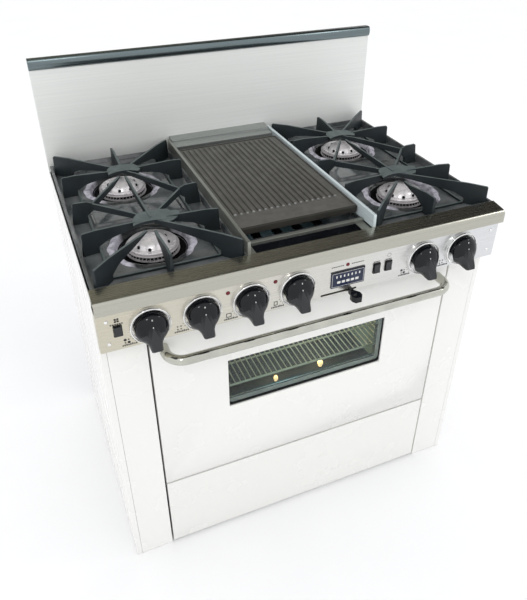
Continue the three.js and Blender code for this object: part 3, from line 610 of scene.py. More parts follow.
def make_cabinet():
    # The left rail takes the darker copy and the right rail the brighter one: painted reflection.
    for side, rail in (("left", RAIL_STEEL), ("right", LIT_RAIL_STEEL)):
        for part, material, slot, bevel in SIDE_SKINS:
            refined(f"{part}_{side}", material, "range_body", bevel * MM)
        refined(f"grill_rail_{side}", rail, "range_body", 0.8 * MM)
    for node, material, slot, bevel in BACK_SKINS:
        refined(node, material, "range_body", bevel * MM)
    make_ledge()
    refined("flue_cover", FLUE_STEEL, "range_body", 0.8 * MM)
    refined("drawer_front", DRAWER_WHITE, "drawer", 1.2 * MM)
    refined("drawer_box", GALVANISED, "drawer", 0.7 * MM)
    for node, material in (("gas_manifold", BRASS), ("grill_burner", BURNT), ("oven_burner", GALVANISED),
                           ("convection_fan", GALVANISED)):
        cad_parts[node].data.materials[0] = material


# ---- burners and trays
BURNERS = ("left_front", "left_rear", "right_front", "right_rear")
TEETH = 44


PORT_COUNT = 8
PORT_REACH = 33.4 * MM
TUBE_R = 12 * MM
DISH_FALL = 3.6 * MM


def burner_centre(place):
    centre = middle_of(f"burner_cap_{place}")
    centre.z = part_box(f"burner_cap_{place}")[0].z
    return centre


def make_burner_cap(place):
    """The polished dome and dish, with the ports round the dome drawn as black plugs, painted shade in the
    holes.
    """
    lo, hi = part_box(f"burner_cap_{place}")
    centre = burner_centre(place)
    cap_r = (hi.x - lo.x) / 2
    rise = hi.z - lo.z
    dish = [(0, 0), (cap_r - 1 * MM, 0), (cap_r, 1 * MM), (cap_r, 3 * MM), (cap_r - 1 * MM, 4.4 * MM),
            (cap_r - 2.4 * MM, 4.2 * MM), (cap_r - 6 * MM, 2.6 * MM)]
    dome = in_mm((39, 1.6), (35, 1.8), (34, 3), (32.6, 6.4), (28, 11), (21, 15.4))
    crown = [(14 * MM, rise - 1.2 * MM), (8 * MM, rise - 0.3 * MM), (0, rise)]
    bm = bmesh.new()
    lathe(bm, dish + dome + crown, centre, steps=72)
    finish_piece(f"burner_cap_{place}_turned", bm, POLISHED, "range_body",
                 [f"burner_cap_{place}"], sharp=40)
    # Black plugs where the ports are: painted shade inside the holes.
    bm = bmesh.new()
    for k in range(PORT_COUNT):
        turn = math.radians(45 * k + 22.5)
        spot = centre + Vector((math.cos(turn), math.sin(turn), 0)) * PORT_REACH
        lathe(bm, in_mm((0, 1), (3.6, 1), (3.6, 5.4), (2.4, 6.8), (0, 6.8)), spot, steps=14)
    finish_piece(f"burner_ports_{place}", bm, RUBBER_AND_SHADE, "range_body")


def make_burner_head(place):
    """The toothed casting under the cap, with its gas tube."""
    lo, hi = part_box(f"burner_head_{place}")
    centre = burner_centre(place)
    head_r = (hi.x - lo.x) / 2
    top = hi.z - centre.z

    def tooth(k, row, radius):
        return radius - DISH_FALL if row in (6, 7) and k % 4 < 2 else radius

    stem = [(0, top - 44 * MM), (22 * MM, top - 44 * MM), (24 * MM, top - 22 * MM)]
    rim = [(head_r - inset * MM, top - fall * MM) for inset, fall in (
        (9, 17), (0, 12.4), (0, 10.4), (2.6, 9.6), (2.6, 2.8), (0.6, 2.2), (0.6, 0.6), (1.4, 0))]
    bm = bmesh.new()
    lathe(bm, stem + rim + [(0, top)], centre, steps=TEETH * 4, ripple=tooth)
    tube_z = lo.z + 14 * MM
    sweep(bm, [(centre.x, lo.y, tube_z), (centre.x, centre.y, tube_z)], TUBE_R, 24)
    head = finish_piece(f"burner_head_{place}_cast", bm, ALUMINIUM, "range_body",
                        [f"burner_head_{place}"], sharp=35)
    # Faces in the notches between the teeth turn black: painted shade in the gaps under the cap.
    head.data.materials.append(RUBBER_AND_SHADE)
    for face in head.data.polygons:
        reach = math.hypot(face.center.x - centre.x, face.center.y - centre.y)
        depth = hi.z - face.center.z
        if 3 * MM < depth < 9.4 * MM and reach < head_r - 4.4 * MM:
            face.material_index = 1


def make_bowl(place):
    """The ring pressed round each burner, painted pale at its sides as a highlight, and a black sheet inside
    it as painted shade in the well.
    """
    centre = burner_centre(place)
    centre.z = FLOOR_Z

    def worn(k, row, radius):
        wave = math.sin(k * 0.41 + centre.x * 60) + math.sin(k * 0.97 + 1.3)
        return radius + (1.2 * MM * wave if 3 < row < 9 else 0)

    ring = in_mm((70, -12), (72, -11.4), (75, -5.4), (77, -0.4), (80, 2.2), (84, 2.6), (88, 1.6),
                 (91, 0.4), (91, -0.8), (84, 0.4), (78, -3), (71, -14))
    bm = bmesh.new()
    lathe(bm, ring, centre, steps=96, closed=True, ripple=worn)
    finish_piece(f"burner_bowl_rim_{place}", bm, BOWL_RIM, "range_body", sharp=60)
    # A black sheet in the bowl: painted shade in the well.
    well = in_mm((25, -16.4), (60, -16.4), (61, -13.4), (63.6, -13.4), (64.6, -16), (68, -15),
                 (72.5, -9), (72.5, -11), (69, -17), (60, -17.4), (25, -17.4))
    bm = bmesh.new()
    lathe(bm, well, centre, steps=96, closed=True)
    finish_piece(f"burner_well_shade_{place}", bm, WELL_SHADE, "range_body", sharp=60)


def smooth_step(value, start, end):
    t = min(1, max(0, (value - start) / (end - start)))
    return t * t * (3 - 2 * t)


BAND_RISE = 6 * MM
SHELF_RISE = 9 * MM
BOWL_DEPTH = 20 * MM
BOWL_REACH = (66 * MM, 84 * MM)
SHADE_DEPTH = 4 * MM
TRAY_GRID = 2 * MM
TRAY_GAUGE = 1.2 * MM


def tray_height(x, y, lo, hi, burners, inner_side):
    """Height above the tray floor: rims, the band between the burners, the rear shelf and the bowls."""
    from_outer = (x - lo.x) if inner_side > 0 else (hi.x - x)
    from_inner = (hi.x - x) if inner_side > 0 else (x - lo.x)
    rim = hi.z - FLOOR_Z
    middle = (burners[0].y + burners[1].y) / 2
    across = smooth_step(min(from_outer, from_inner), 50 * MM, 60 * MM)
    height = BAND_RISE * (1 - smooth_step(abs(y - middle), 26 * MM, 35 * MM)) * across
    height += SHELF_RISE * smooth_step(y, hi.y - 17 * MM, hi.y - 12 * MM)
    for burner in burners:
        reach = math.hypot(x - burner.x, y - burner.y)
        bowl = 1 - smooth_step(reach, *BOWL_REACH)
        height = height * (1 - bowl) - BOWL_DEPTH * bowl
    rims = ((from_outer, 6, 8), (from_inner, 1.5, 3), (y - lo.y, 1.5, 3), (hi.y - y, 5, 8))
    for inset, start, end in rims:
        edge = rim * (1 - smooth_step(inset, start * MM, end * MM))
        if edge > 0:
            height = max(height, edge)
    return height


def make_tray(side, inner_side):
    node = f"burner_tray_{side}"
    lo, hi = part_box(node)
    burners = [middle_of(f"burner_cap_{side}_{end}") for end in ("front", "rear")]
    columns = round((hi.x - lo.x) / TRAY_GRID)
    rows = round((hi.y - lo.y) / TRAY_GRID)
    bm = bmesh.new()
    grid = []
    for i in range(columns + 1):
        x = lo.x + (hi.x - lo.x) * i / columns
        line = []
        for j in range(rows + 1):
            y = lo.y + (hi.y - lo.y) * j / rows
            line.append(bm.verts.new((x, y, FLOOR_Z + tray_height(x, y, lo, hi, burners, inner_side))))
        grid.append(line)
    for i in range(columns):
        for j in range(rows):
            bm.faces.new((grid[i][j], grid[i + 1][j], grid[i + 1][j + 1], grid[i][j + 1]))
    tray = finish_piece(f"{node}_pressed", bm, TRAY, "range_body", [node], sharp=60)
    # Faces deeper than this below the tray floor turn black: painted shade in the bowls.
    tray.data.materials.append(WELL_SHADE)
    for face in tray.data.polygons:
        if face.center.z < FLOOR_Z - SHADE_DEPTH:
            face.material_index = 1
    thick = tray.modifiers.new("sheet", "SOLIDIFY")
    thick.thickness = TRAY_GAUGE
    thick.offset = -1


FLOOR_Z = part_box("grate_left")[0].z - 0.4 * MM


# ---- grates
GRATE_ROOTS = {"front": (4, 32), "rear": (2, 16)}
FRONT_HUB = [(-38, 8), (-30, 12), (-22, 15), (-11, 17.5), (0, 18), (10, 17), (20, 13), (28, 7), (34, 0),
             (44, 2), (54, 10), (64, 24), (68, 38), (60, 44), (50, 46), (46, 56), (30, 60), (4, 62),
             (-18, 58), (-28, 46), (-34, 30)]
REAR_HUB = [(-36, -6), (-26, -1), (-16, 3), (0, 5), (16, 2), (26, -4), (34, -10), (42, 0), (40, 20),
            (32, 36), (4, 44), (-22, 42), (-34, 24)]
BLADE_TOP = 4.6 * MM
BLADE_FOOT = 8.4 * MM
BLADE_TAPER = 34 * MM
GRATE_TRIM = 2.83 * MM
GRATE_FOOT = 34 * MM
CORNER_FOOT = 50 * MM
SHOULDER_RUN = 46 * MM
HUB_FALL = 8 * MM
HUB_THICKNESS = 6.5 * MM
RING_INSET = 35.5 * MM
RING_BAR = 4.6 * MM


def blade(start, end, outline):
    """An upright bar in plan from start to end, thinner at its top than at its foot."""
    bm = bmesh.new()
    run = Vector((end[0] - start[0], end[1] - start[1], 0))
    length = run.length
    ahead = run.normalized()
    across = Vector((-ahead.y, ahead.x, 0))
    points = outline(length)
    top = max(z for _, z in points)
    sides = []
    for sign in (-1, 1):
        ring = []
        for s, z in points:
            share = min(1, max(0, (top - z) / BLADE_TAPER))
            half = (BLADE_TOP + (BLADE_FOOT - BLADE_TOP) * share) / 2
            spot = Vector((start[0], start[1], 0)) + ahead * s + across * half * sign
            ring.append(bm.verts.new((spot.x, spot.y, z)))
        sides.append(ring)
    low, high = sides
    for ring in sides:
        edges = [bm.edges.new((ring[i - 1], ring[i])) for i in range(len(ring))]
        bmesh.ops.triangle_fill(bm, use_beauty=True, use_dissolve=False, edges=edges)
    for i in range(len(low)):
        bm.faces.new((low[i - 1], low[i], high[i], high[i - 1]))
    return bm


def make_grate(side):
    """One casting: two hubs, bars that run out to feet at the tray's edges, and a low ring of bars."""
    node = f"grate_{side}"
    lo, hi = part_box(node)
    x0, x1, y0, y1 = lo.x + GRATE_TRIM, hi.x - GRATE_TRIM, lo.y + GRATE_TRIM, hi.y
    bottom, end_top = lo.z, hi.z
    hub_top = end_top - HUB_FALL
    mid_x, mid_y = (x0 + x1) / 2, (y0 + y1) / 2
    front = Vector((mid_x, (y0 + mid_y) / 2, 0))
    rear = Vector((mid_x, (mid_y + y1) / 2, 0))
    foot, corner = GRATE_FOOT, CORNER_FOOT

    def footed(width, root):
        def outline(length):
            inner = length - width
            return [
                (0, hub_top - root * MM), (length * 0.3, hub_top - 12.5 * MM),
                (length * 0.45, hub_top - 15 * MM), (inner - 22 * MM, end_top - 27 * MM),
                (inner - 8 * MM, end_top - 33 * MM), (inner, end_top - 37 * MM),
                (inner + 2 * MM, bottom), (length, bottom), (length - 1 * MM, end_top - 4 * MM),
                (length - 2 * MM, end_top - 1 * MM), (length - 4.5 * MM, end_top), (inner + 4 * MM, end_top),
                (34 * MM, hub_top + 0.4 * MM), (27 * MM, hub_top - 1.2 * MM),
                (0, hub_top - 1.2 * MM),
            ]
        return outline

    def plain(root):
        def outline(length):
            return [(0, hub_top - root * MM), (length * 0.25, hub_top - 11 * MM),
                    (length, hub_top - 13 * MM), (length, hub_top + 1 * MM), (44 * MM, hub_top + 0.6 * MM),
                    (28 * MM, hub_top - 1.2 * MM), (0, hub_top - 1.2 * MM)]
        return outline

    def shoulder(length):
        return [(0, hub_top - 13 * MM), (length - foot, end_top - 33 * MM), (length - foot, bottom),
                (length, bottom), (length - 5 * MM, end_top - 2 * MM), (length - 8 * MM, end_top),
                (length * 0.3, end_top - 1 * MM), (0, hub_top + 1 * MM)]

    def toward(a, b, distance):
        return a + (b - a).normalized() * distance

    shells = []
    for middle, outline in ((front, FRONT_HUB), (rear, REAR_HUB)):
        plan = [(middle.x + dx * MM, middle.y + dy * MM) for dx, dy in outline]
        shells.append(bmesh.new())
        slab(shells[-1], [plan], "z", hub_top - HUB_THICKNESS, hub_top)

    def add(start, end, outline):
        shells.append(blade(start, end, outline))

    front_root = front + Vector(GRATE_ROOTS["front"]).to_3d() * MM
    rear_root = rear + Vector(GRATE_ROOTS["rear"]).to_3d() * MM
    left, right = Vector((x0 + SHOULDER_RUN, mid_y, 0)), Vector((x1 - SHOULDER_RUN, mid_y, 0))
    for start, end, width in (
        (front_root, (x0, front.y), foot), (front_root, (x1, front.y), foot), (front_root, (x1, y0), corner),
        (rear_root, (x0, rear.y), foot), (rear_root, (x1, rear.y), foot), (rear_root, (mid_x, y1), foot),
        (rear_root, (x0, y1), corner), (rear_root, (x1, y1), corner),
    ):
        add(start, end, footed(width, 9))
    for end, width in (((mid_x, y0), foot), ((x0, y0), corner)):
        add(toward(front, Vector((*end, 0)), 24 * MM), end, footed(width, 4))
    add(front_root, left, plain(9))
    add(front_root, right, plain(9))
    add(rear_root, right, plain(9))
    add(toward(rear, left, 24 * MM), left, plain(4))
    add(toward(rear, front, 24 * MM), front_root, plain(4))
    add(left + Vector((3 * MM, 0, 0)), (x0, mid_y), shoulder)
    add(right - Vector((3 * MM, 0, 0)), (x1, mid_y), shoulder)
    inset, bar = RING_INSET, RING_BAR
    z0, z1 = bottom, bottom + RING_BAR
    for a, b in (
        ((x0 + inset - bar / 2, y0 + inset), (x0 + inset + bar / 2, y1 - inset)),
        ((x1 - inset - bar / 2, y0 + inset), (x1 - inset + bar / 2, y1 - inset)),
        ((x0 + inset, y0 + inset - bar / 2), (x1 - inset, y0 + inset + bar / 2)),
        ((x0 + inset, y1 - inset - bar / 2), (x1 - inset, y1 - inset + bar / 2)),
    ):
        shells.append(bmesh.new())
        cuboid(shells[-1], (*a, z0), (*b, z1))
    finish_piece(f"{node}_casting", fused(shells), IRON, node, [node], 0.9 * MM, 2, 28)


# ---- grill
PLATE_STEP = 3 * MM
PLATE_BORDER = 5 * MM
RIB_PITCH = 14 * MM
RIB_COUNT = 18
RIB_SHIFT = -5 * MM
RIB_FRONT = 58 * MM
RIB_REAR = 14 * MM
RIB_HALF = 4.2 * MM
RIB_RISE = 3.2 * MM
RIB_SIDES = 6


def add_rib(bm, x, y0, y1, top):
    """One rounded rib, which sinks into the plate at both ends."""
    rows = []
    for y, rise in ((y0 - 3 * MM, 0.0), (y0 - 1 * MM, 0.62), (y0 + 3 * MM, 1.0),
                    (y1 - 3 * MM, 1.0), (y1 + 1 * MM, 0.62), (y1 + 3 * MM, 0.0)):
        width = RIB_HALF * (0.55 + 0.45 * rise)
        height = RIB_RISE * rise + 0.05 * MM
        row = []
        for k in range(RIB_SIDES + 1):
            turn = math.pi * k / RIB_SIDES
            z = top - 0.3 * MM + height * math.sin(turn) ** 0.8
            row.append(bm.verts.new((x + width * math.cos(turn), y, z)))
        rows.append(row)
    bridge(bm, rows)


def make_plate():
    lo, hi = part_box("grill_plate")
    top = hi.z - PLATE_STEP
    bm = bmesh.new()
    cuboid(bm, lo, (hi.x, hi.y, top))
    finish_piece("grill_plate_slab", bm, PLATE_IRON, "grill_plate", ["grill_plate"], 2 * MM)
    y0, y1 = lo.y + RIB_FRONT, hi.y - RIB_REAR
    bm = bmesh.new()
    for i in range(RIB_COUNT):
        add_rib(bm, RIB_SHIFT + (lo.x + hi.x) / 2 + (i - (RIB_COUNT - 1) / 2) * RIB_PITCH, y0, y1, top)
    ribs = finish_piece("grill_plate_ribs", bm, PLATE_IRON, "grill_plate", sharp=50)
    ribs.data.materials.append(RIB_END)
    for face in ribs.data.polygons:
        if face.center.y < y0 + 2 * MM or face.center.y > y1 - 1 * MM:
            face.material_index = 1
    bm = bmesh.new()
    outer, inner = [
        round_rect(lo.x + inset, hi.x - inset, lo.y + inset, hi.y - inset, radius)
        for inset, radius in ((1 * MM, 6 * MM), (PLATE_BORDER, 4 * MM))]
    slab(bm, [outer, inner], "z", top - 1 * MM, top + 1.8 * MM)
    finish_piece("grill_plate_border", bm, PLATE_IRON, "grill_plate", bevel=0.8 * MM)


def make_trough():
    refined("grease_trough", TROUGH, "grease_trough", 0.7 * MM)
    lo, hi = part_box("grill_front_bar")
    bm = bmesh.new()
    cuboid(bm, lo, hi)
    near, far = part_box("grease_trough")
    for x0, x1 in ((near.x, near.x + 13 * MM), (far.x - 20 * MM, far.x)):
        cuboid(bm, (x0, near.y + 1 * MM, far.z + 0.3 * MM), (x1, lo.y + 1 * MM, far.z + 2.4 * MM))
    finish_piece("grill_front_bar_frame", bm, RAIL_STEEL, "grease_trough",
                 ["grill_front_bar"], 0.8 * MM)


# ---- control panel
KNOBS = ("left_front", "left_rear", "oven", "grill", "right_rear", "right_front")


PANEL_GAUGE = 2 * MM
SLOT_HALF = 2.2 * MM
SLOT_RISE = 4.5 * MM
SLOT_RUN = 58 * MM


def knob_centre(name):
    centre = middle_of(f"knob_{name}")
    centre.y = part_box(f"knob_{name}")[1].y
    return centre


def make_panel():
    """The folded steel front, with round holes for the knob shafts and a slot for the lever."""
    lo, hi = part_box("control_panel")
    face = lo.y
    holes = [circle(knob_centre(k).x, knob_centre(k).z, 6 * MM) for k in KNOBS]
    slot_z = lo.z + SLOT_RISE
    start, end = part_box("latch_lever")[0].x - SLOT_RUN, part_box("latch_lever")[1].x + 4 * MM
    holes.append(round_rect(start, end, slot_z - SLOT_HALF, slot_z + SLOT_HALF, 2 * MM))
    outline = [(lo.x, lo.z), (hi.x, lo.z), (hi.x, hi.z), (lo.x, hi.z)]
    bm = bmesh.new()
    slab(bm, [outline] + holes, "y", face, face + PANEL_GAUGE)
    fold = face + PANEL_GAUGE / 2
    cuboid(bm, (lo.x, fold, hi.z - PANEL_GAUGE), hi)
    cuboid(bm, (lo.x, fold, lo.z), (hi.x, hi.y, lo.z + PANEL_GAUGE))
    cuboid(bm, (lo.x, fold, lo.z), (lo.x + PANEL_GAUGE, hi.y, hi.z))
    cuboid(bm, (hi.x - PANEL_GAUGE, fold, lo.z), hi)
    finish_piece("control_panel_sheet", bm, STEEL, "range_body",
                 ["control_panel"], 0.35 * MM, 2)

    screw = in_mm((0, -2.4), (1.4, -2.3), (3.2, -1.5), (4, -0.4), (4, 0), (0, 0))
    bm = bmesh.new()
    for x in (lo.x + 18.5 * MM, hi.x - 18.5 * MM):
        for z in (lo.z + 18 * MM, lo.z + 70 * MM):
            lathe(bm, screw, Vector((x, face, z)), "y", 28)
    finish_piece("panel_screws", bm, CHROME, "range_body", sharp=50)
    make_lamps(face)
    make_badge()
    make_switches(face)
    make_prints(face)
    make_lever()


def make_lever():
    """A flat lever whose neck widens to a six-sided end."""
    lo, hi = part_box("latch_lever")
    x = (lo.x + hi.x) / 2
    half, throat, nose = (hi.x - lo.x) / 2, 4 * MM, 7 * MM
    neck, swell, tip = hi.y - 12 * MM, hi.y - 22 * MM, lo.y
    flank = [(throat, hi.y), (throat, neck), (half, swell), (half, tip + 8 * MM), (nose, tip)]
    plan = [(x - u, y) for u, y in flank] + [(x + u, y) for u, y in reversed(flank)]
    bm = bmesh.new()
    slab(bm, [plan], "z", lo.z, hi.z)
    finish_piece("latch_lever_handle", bm, BLACK, "latch_lever",
                 ["latch_lever"], 0.7 * MM, 2)


def make_lamps(face):
    spots = [(node, middle_of(node), 4.4 * MM) for node in ("lamp_oven", "lamp_grill")]
    above_badge = middle_of("badge_plate") + Vector((-2 * MM, 0, 0))
    above_badge.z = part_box("badge_plate")[1].z + 12 * MM
    spots.append((None, above_badge, 4.2 * MM))
    for i, (node, spot, radius) in enumerate(spots):
        spot.y = face
        lens = [(0, -2.3 * MM), (radius * 0.45, -2.1 * MM), (radius * 0.8, -1.4 * MM), (radius, -0.4 * MM),
                (radius, 0), (0, 0)]
        bm = bmesh.new()
        lathe(bm, lens, spot, "y", 32)
        finish_piece(f"lamp_lens_{i}", bm, RED, "range_body", [node] if node else (), sharp=50)


def make_badge():
    """A plain blue plate with a thin frame and two rows of blank marks."""
    lo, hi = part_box("badge_plate")
    front = lo.y + 0.5 * MM
    bm = bmesh.new()
    slab(bm, [round_rect(lo.x, hi.x, lo.z, hi.z, 1.6 * MM)], "y", front, hi.y)
    finish_piece("badge_plate_blue", bm, BLUE, "range_body", ["badge_plate"], 0.5 * MM, 2)
    bm = bmesh.new()
    edge, line = 2.2 * MM, 0.6 * MM
    outer = round_rect(lo.x + edge, hi.x - edge, lo.z + edge, hi.z - 4 * MM, 1 * MM)
    edge += line
    inner = round_rect(lo.x + edge, hi.x - edge, lo.z + edge, hi.z - 4 * MM - line, 0.8 * MM)
    slab(bm, [outer, inner], "y", front - 0.25 * MM, front + 0.1 * MM)
    width = hi.x - lo.x
    x0 = lo.x + 0.16 * width
    marks = [(x0 + k * width * 0.68 / 6, 1.5 * MM, 24 * MM) for k in range(7)]
    marks += [(x0 + (k + 0.5) * width * 0.68 / 5, 4 * MM, 10 * MM) for k in range(5)]
    for u, half, rise in marks:
        slab(bm, [round_rect(u - half, u + half, lo.z + rise, lo.z + rise + 6 * MM, 1 * MM)],
             "y", front - 0.25 * MM, front + 0.1 * MM)
    finish_piece("badge_lines", bm, MARK, "range_body")
    bm = bmesh.new()
    slab(bm, [round_rect(lo.x, hi.x, hi.z - 2.6 * MM, hi.z, 0.6 * MM)],
         "y", front - 0.4 * MM, front + 0.1 * MM)
    finish_piece("badge_top_line", bm, BLACK, "range_body")


def make_switches(face):
    for node in ("switch_fan", "switch_light", "switch_spark"):
        lo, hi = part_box(node)

        def frame_line(grow, radius):
            return round_rect(lo.x - grow, hi.x + grow, lo.z - grow, hi.z + grow, radius)

        bm = bmesh.new()
        slab(bm, [frame_line(1.6 * MM, 1.2 * MM), frame_line(0.3 * MM, 0.6 * MM)], "y", face - 2.2 * MM, face)
        finish_piece(f"{node}_bezel", bm, BLACK, "range_body", bevel=0.4 * MM, segments=2)
        bm = bmesh.new()
        profile = [(hi.y, lo.z), (lo.y, lo.z + 0.5 * MM), (lo.y + 1.3 * MM, (lo.z + hi.z) / 2),
                   (lo.y + 0.5 * MM, hi.z - 0.5 * MM), (hi.y, hi.z)]
        slab(bm, [profile], "x", lo.x, hi.x)
        finish_piece(f"{node}_rocker", bm, MATT_BLACK, node, [node], 0.5 * MM, 3)


def make_prints(face):
    """Plain pictures beside the controls: dots, outlines, a fan and setting ticks."""
    bm = bmesh.new()
    y0, y1 = face - 0.22 * MM, face + 0.1 * MM

    def line(x0, x1, z0, z1):
        slab(bm, [[(x0, z0), (x1, z0), (x1, z1), (x0, z1)]], "y", y0, y1)

    def dot(u, v, radius, steps, front=y0):
        slab(bm, [circle(u, v, radius, steps)], "y", front, y1)

    def dots_round(u, v, reach, radius, steps, turns):
        for turn in turns:
            angle = math.radians(turn)
            dot(u + reach * math.cos(angle), v + reach * math.sin(angle), radius, steps)

    def outline(x, z, w, h, t):
        outer = round_rect(x - w, x + w, z - h, z + h, 0.6 * MM)
        inner = round_rect(x - w + t, x + w - t, z - h + t, z + h - t, 0.4 * MM)
        slab(bm, [outer, inner], "y", y0, y1)

    for index, name in enumerate(KNOBS):
        centre = knob_centre(name)
        x = centre.x - 47 * MM
        z = centre.z - 26 * MM
        if name in ("oven", "grill"):
            outline(x, z, (5.6 if name == "oven" else 4.2) * MM, 5 * MM, 1.5 * MM)
        else:
            for column in (-1, 1):
                for row in (-1, 1):
                    size = (3 if (index + column + row) % 4 == 0 else 1.6) * MM
                    dot(x + column * 3.4 * MM, z + row * 3.4 * MM, size, 16)
        for k in range(8):
            height = (3.2 + 0.6 * (k % 3)) * MM
            start = centre.x - 57 * MM + k * 3.7 * MM
            line(start, start + 2.5 * MM, z - 11 * MM, z - 11 * MM + height)
        dots_round(centre.x, centre.z, 43 * MM, 0.9 * MM, 10, (205, 214, 223))
    x, top = middle_of("switch_fan").x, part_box("switch_fan")[1].z
    z = top + 13 * MM
    dots_round(x, z, 3.6 * MM, 2.2 * MM, 14, range(45, 360, 90))
    dot(x, z, 1.0 * MM, 14, y0 - 0.1 * MM)
    for k in range(6):
        start = x - 13 * MM + k * 4.2 * MM
        line(start, start + 3 * MM, top + 3.2 * MM, top + 5.8 * MM)
    for node in ("switch_light", "switch_spark"):
        x, top = middle_of(node).x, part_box(node)[1].z
        for k in range(4):
            start = x - 8 * MM + k * 4 * MM
            line(start, start + 2.6 * MM, top + 4 * MM, top + 6.2 * MM)
    dots_round(x, top + 15 * MM, 4.4 * MM, 0.8 * MM, 10, range(0, 360, 45))
    x, top = middle_of("badge_plate").x - 2 * MM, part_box("badge_plate")[1].z
    for side in (-1, 1):
        for k in range(7):
            u = x + side * (11 + 4.2 * k) * MM
            line(u - 1.5 * MM, u + 1.5 * MM, top + 11 * MM, top + 13 * MM)
    finish_piece("panel_prints", bm, PRINT, "range_body")


# ---- knobs
KNOB_STEM = 12.5 * MM
KNOB_DROP = 31 * MM
KNOB_DEPTH = 23.6 * MM
STEM_BLEND = 2.2 * MM


def knob_section(round_r, stem_w, drop, steps=72):
    """A round outline with a stem drawn down from it, blended by a soft fillet."""
    points = []
    for k in range(steps):
        turn = 2 * math.pi * k / steps
        reach = round_r
        if math.sin(turn) < -0.2:
            stem = min(drop / -math.sin(turn), stem_w / max(abs(math.cos(turn)), 1e-4))
            weights = [math.exp(min(60, size / STEM_BLEND)) for size in (round_r, stem)]
            reach = STEM_BLEND * math.log(sum(weights))
            reach = max(round_r, reach - 0.2 * MM)
        points.append((reach * math.cos(turn), max(-drop, reach * math.sin(turn))))
    return points


# each ring's depth and inset in mm, its stem width and drop as shares, and how far it slopes out
KNOB_RINGS = ((0, 1, 0, 0, 0), (1, 0, 0, 0, 0), (10, 0, 0, 0, 0), (13, 0.8, 1, 0.93, 0.05),
              (16, 3, 1, 0.98, 0.2), (19, 6.4, 1, 1, 0.5), (21.5, 10.5, 0.96, 1, 0.8),
              (23, 15.5, 0.9, 0.985, 0.94), (23.6, 20, 0.7, 0.95, 1))
TINY = 1e-6


def make_bezel(node, centre):
    ring = in_mm((33.8, 0), (39.6, 0), (40.2, -4), (40, -6.4), (39.2, -7.6), (38, -7.8), (36.8, -6.6),
                 (36.2, -4.4), (35.4, -4.4), (34.8, -5.2), (34, -4.6))
    bm = bmesh.new()
    lathe(bm, ring, centre + Vector((0, 3.95 * MM, 0)), "y", 80, closed=True)
    finish_piece(f"{node}_bezel", bm, CHROME, "range_body", sharp=50)


def make_knob(name):
    """A round skirt that rises into a ridged stem pointing down, with two pale marks."""
    node = f"knob_{name}"
    lo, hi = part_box(node)
    centre = knob_centre(name)
    make_bezel(node, centre)
    skirt_r = (hi.x - lo.x) / 2
    slope_out = hi.y - lo.y - KNOB_DEPTH
    bm = bmesh.new()
    rings = []
    for depth, inset, stem, drop, slope in KNOB_RINGS:
        outline = knob_section(skirt_r - inset * MM, max(KNOB_STEM * stem, TINY), max(KNOB_DROP * drop, TINY))
        ring = []
        for u, v in outline:
            down = smooth_step(-v, -12 * MM, KNOB_DROP)
            flank = 1 - 0.6 * smooth_step(abs(u), 8 * MM, 21 * MM)
            y = hi.y - depth * MM - slope * down * flank * slope_out
            ring.append(bm.verts.new((centre.x + u, y, centre.z + v)))
        rings.append(ring)
    bmesh.ops.triangulate(bm, faces=[bridge(bm, rings)])
    knob = finish_piece(f"{node}_moulding", bm, BLACK, node, [node], sharp=38)
    # The lower front faces take the lighter matt black: a painted reflection of the white door and floor on
    # the glossy knob.
    knob.data.materials.append(MATT_BLACK)
    for face in knob.data.polygons:
        down = centre.z - face.center.z
        if hi.y - face.center.y > 11 * MM and down > -6 * MM + abs(face.center.x - centre.x) * 0.5:
            face.material_index = 1

    bm = bmesh.new()
    x, half = centre.x, 0.9 * MM
    for low_z, high_z, y in ((22.5 * MM, 27 * MM, -18.2 * MM), (3 * MM, 13 * MM, -22.6 * MM)):
        mark = round_rect(x - half, x + half, centre.z + low_z, centre.z + high_z, 0.6 * MM, 3)
        slab(bm, [mark], "y", hi.y + y - 2.2 * MM, hi.y + y + 3 * MM)
    finish_piece(f"{node}_pointer", bm, MARK, node)


# ---- door
def make_door():
    lo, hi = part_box("door_glass_outer")
    refined("door_shell", WHITE, "oven_door", 1.1 * MM)
    refined("door_inner_panel", OVEN, "oven_door", 1 * MM)
    for node in ("door_glass_outer", "door_glass_inner"):
        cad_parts[node].data.materials[0] = GLASS
    bm = bmesh.new()
    grow = 0.2 * MM
    outer = round_rect(lo.x - grow, hi.x + grow, lo.z - grow, hi.z + grow, 6 * MM)
    inner = round_rect(lo.x + 1.5 * MM, hi.x - 3 * MM, lo.z + 7 * MM, hi.z - 1.5 * MM, 8 * MM)
    slab(bm, [outer, inner], "y", lo.y - 1.6 * MM, lo.y - 0.1 * MM)
    finish_piece("window_gasket", bm, RUBBER_AND_SHADE, "oven_door")
    make_handle()


HANDLE_BEND = 36 * MM
BEND_STEPS = 12


def make_handle():
    """One tube that leaves the door, bends, crosses and bends back."""
    lo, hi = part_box("door_handle")
    radius = (hi.z - lo.z) / 2
    z = (lo.z + hi.z) / 2
    front = lo.y + radius
    half = []
    for k in range(BEND_STEPS + 1):
        turn = math.pi / 2 * k / BEND_STEPS
        half.append((HANDLE_BEND * (1 - math.cos(turn)), front + HANDLE_BEND * (1 - math.sin(turn))))
    half.insert(0, (0, hi.y))
    path = [(lo.x + radius + u, y, z) for u, y in half]
    path += [(hi.x - radius - u, y, z) for u, y in reversed(half)]
    bm = bmesh.new()
    sweep(bm, path, radius, 40)
    finish_piece("door_handle_tube", bm, TUBE_STEEL, "oven_door", ["door_handle"], sharp=50)


# ---- oven
RACK_FRAME_R = 2.8 * MM
RACK_BAR_R = 2.2 * MM
RACK_WIRE_R = 1.6 * MM
RACK_BARS = 6
RACK_WIRES = 44
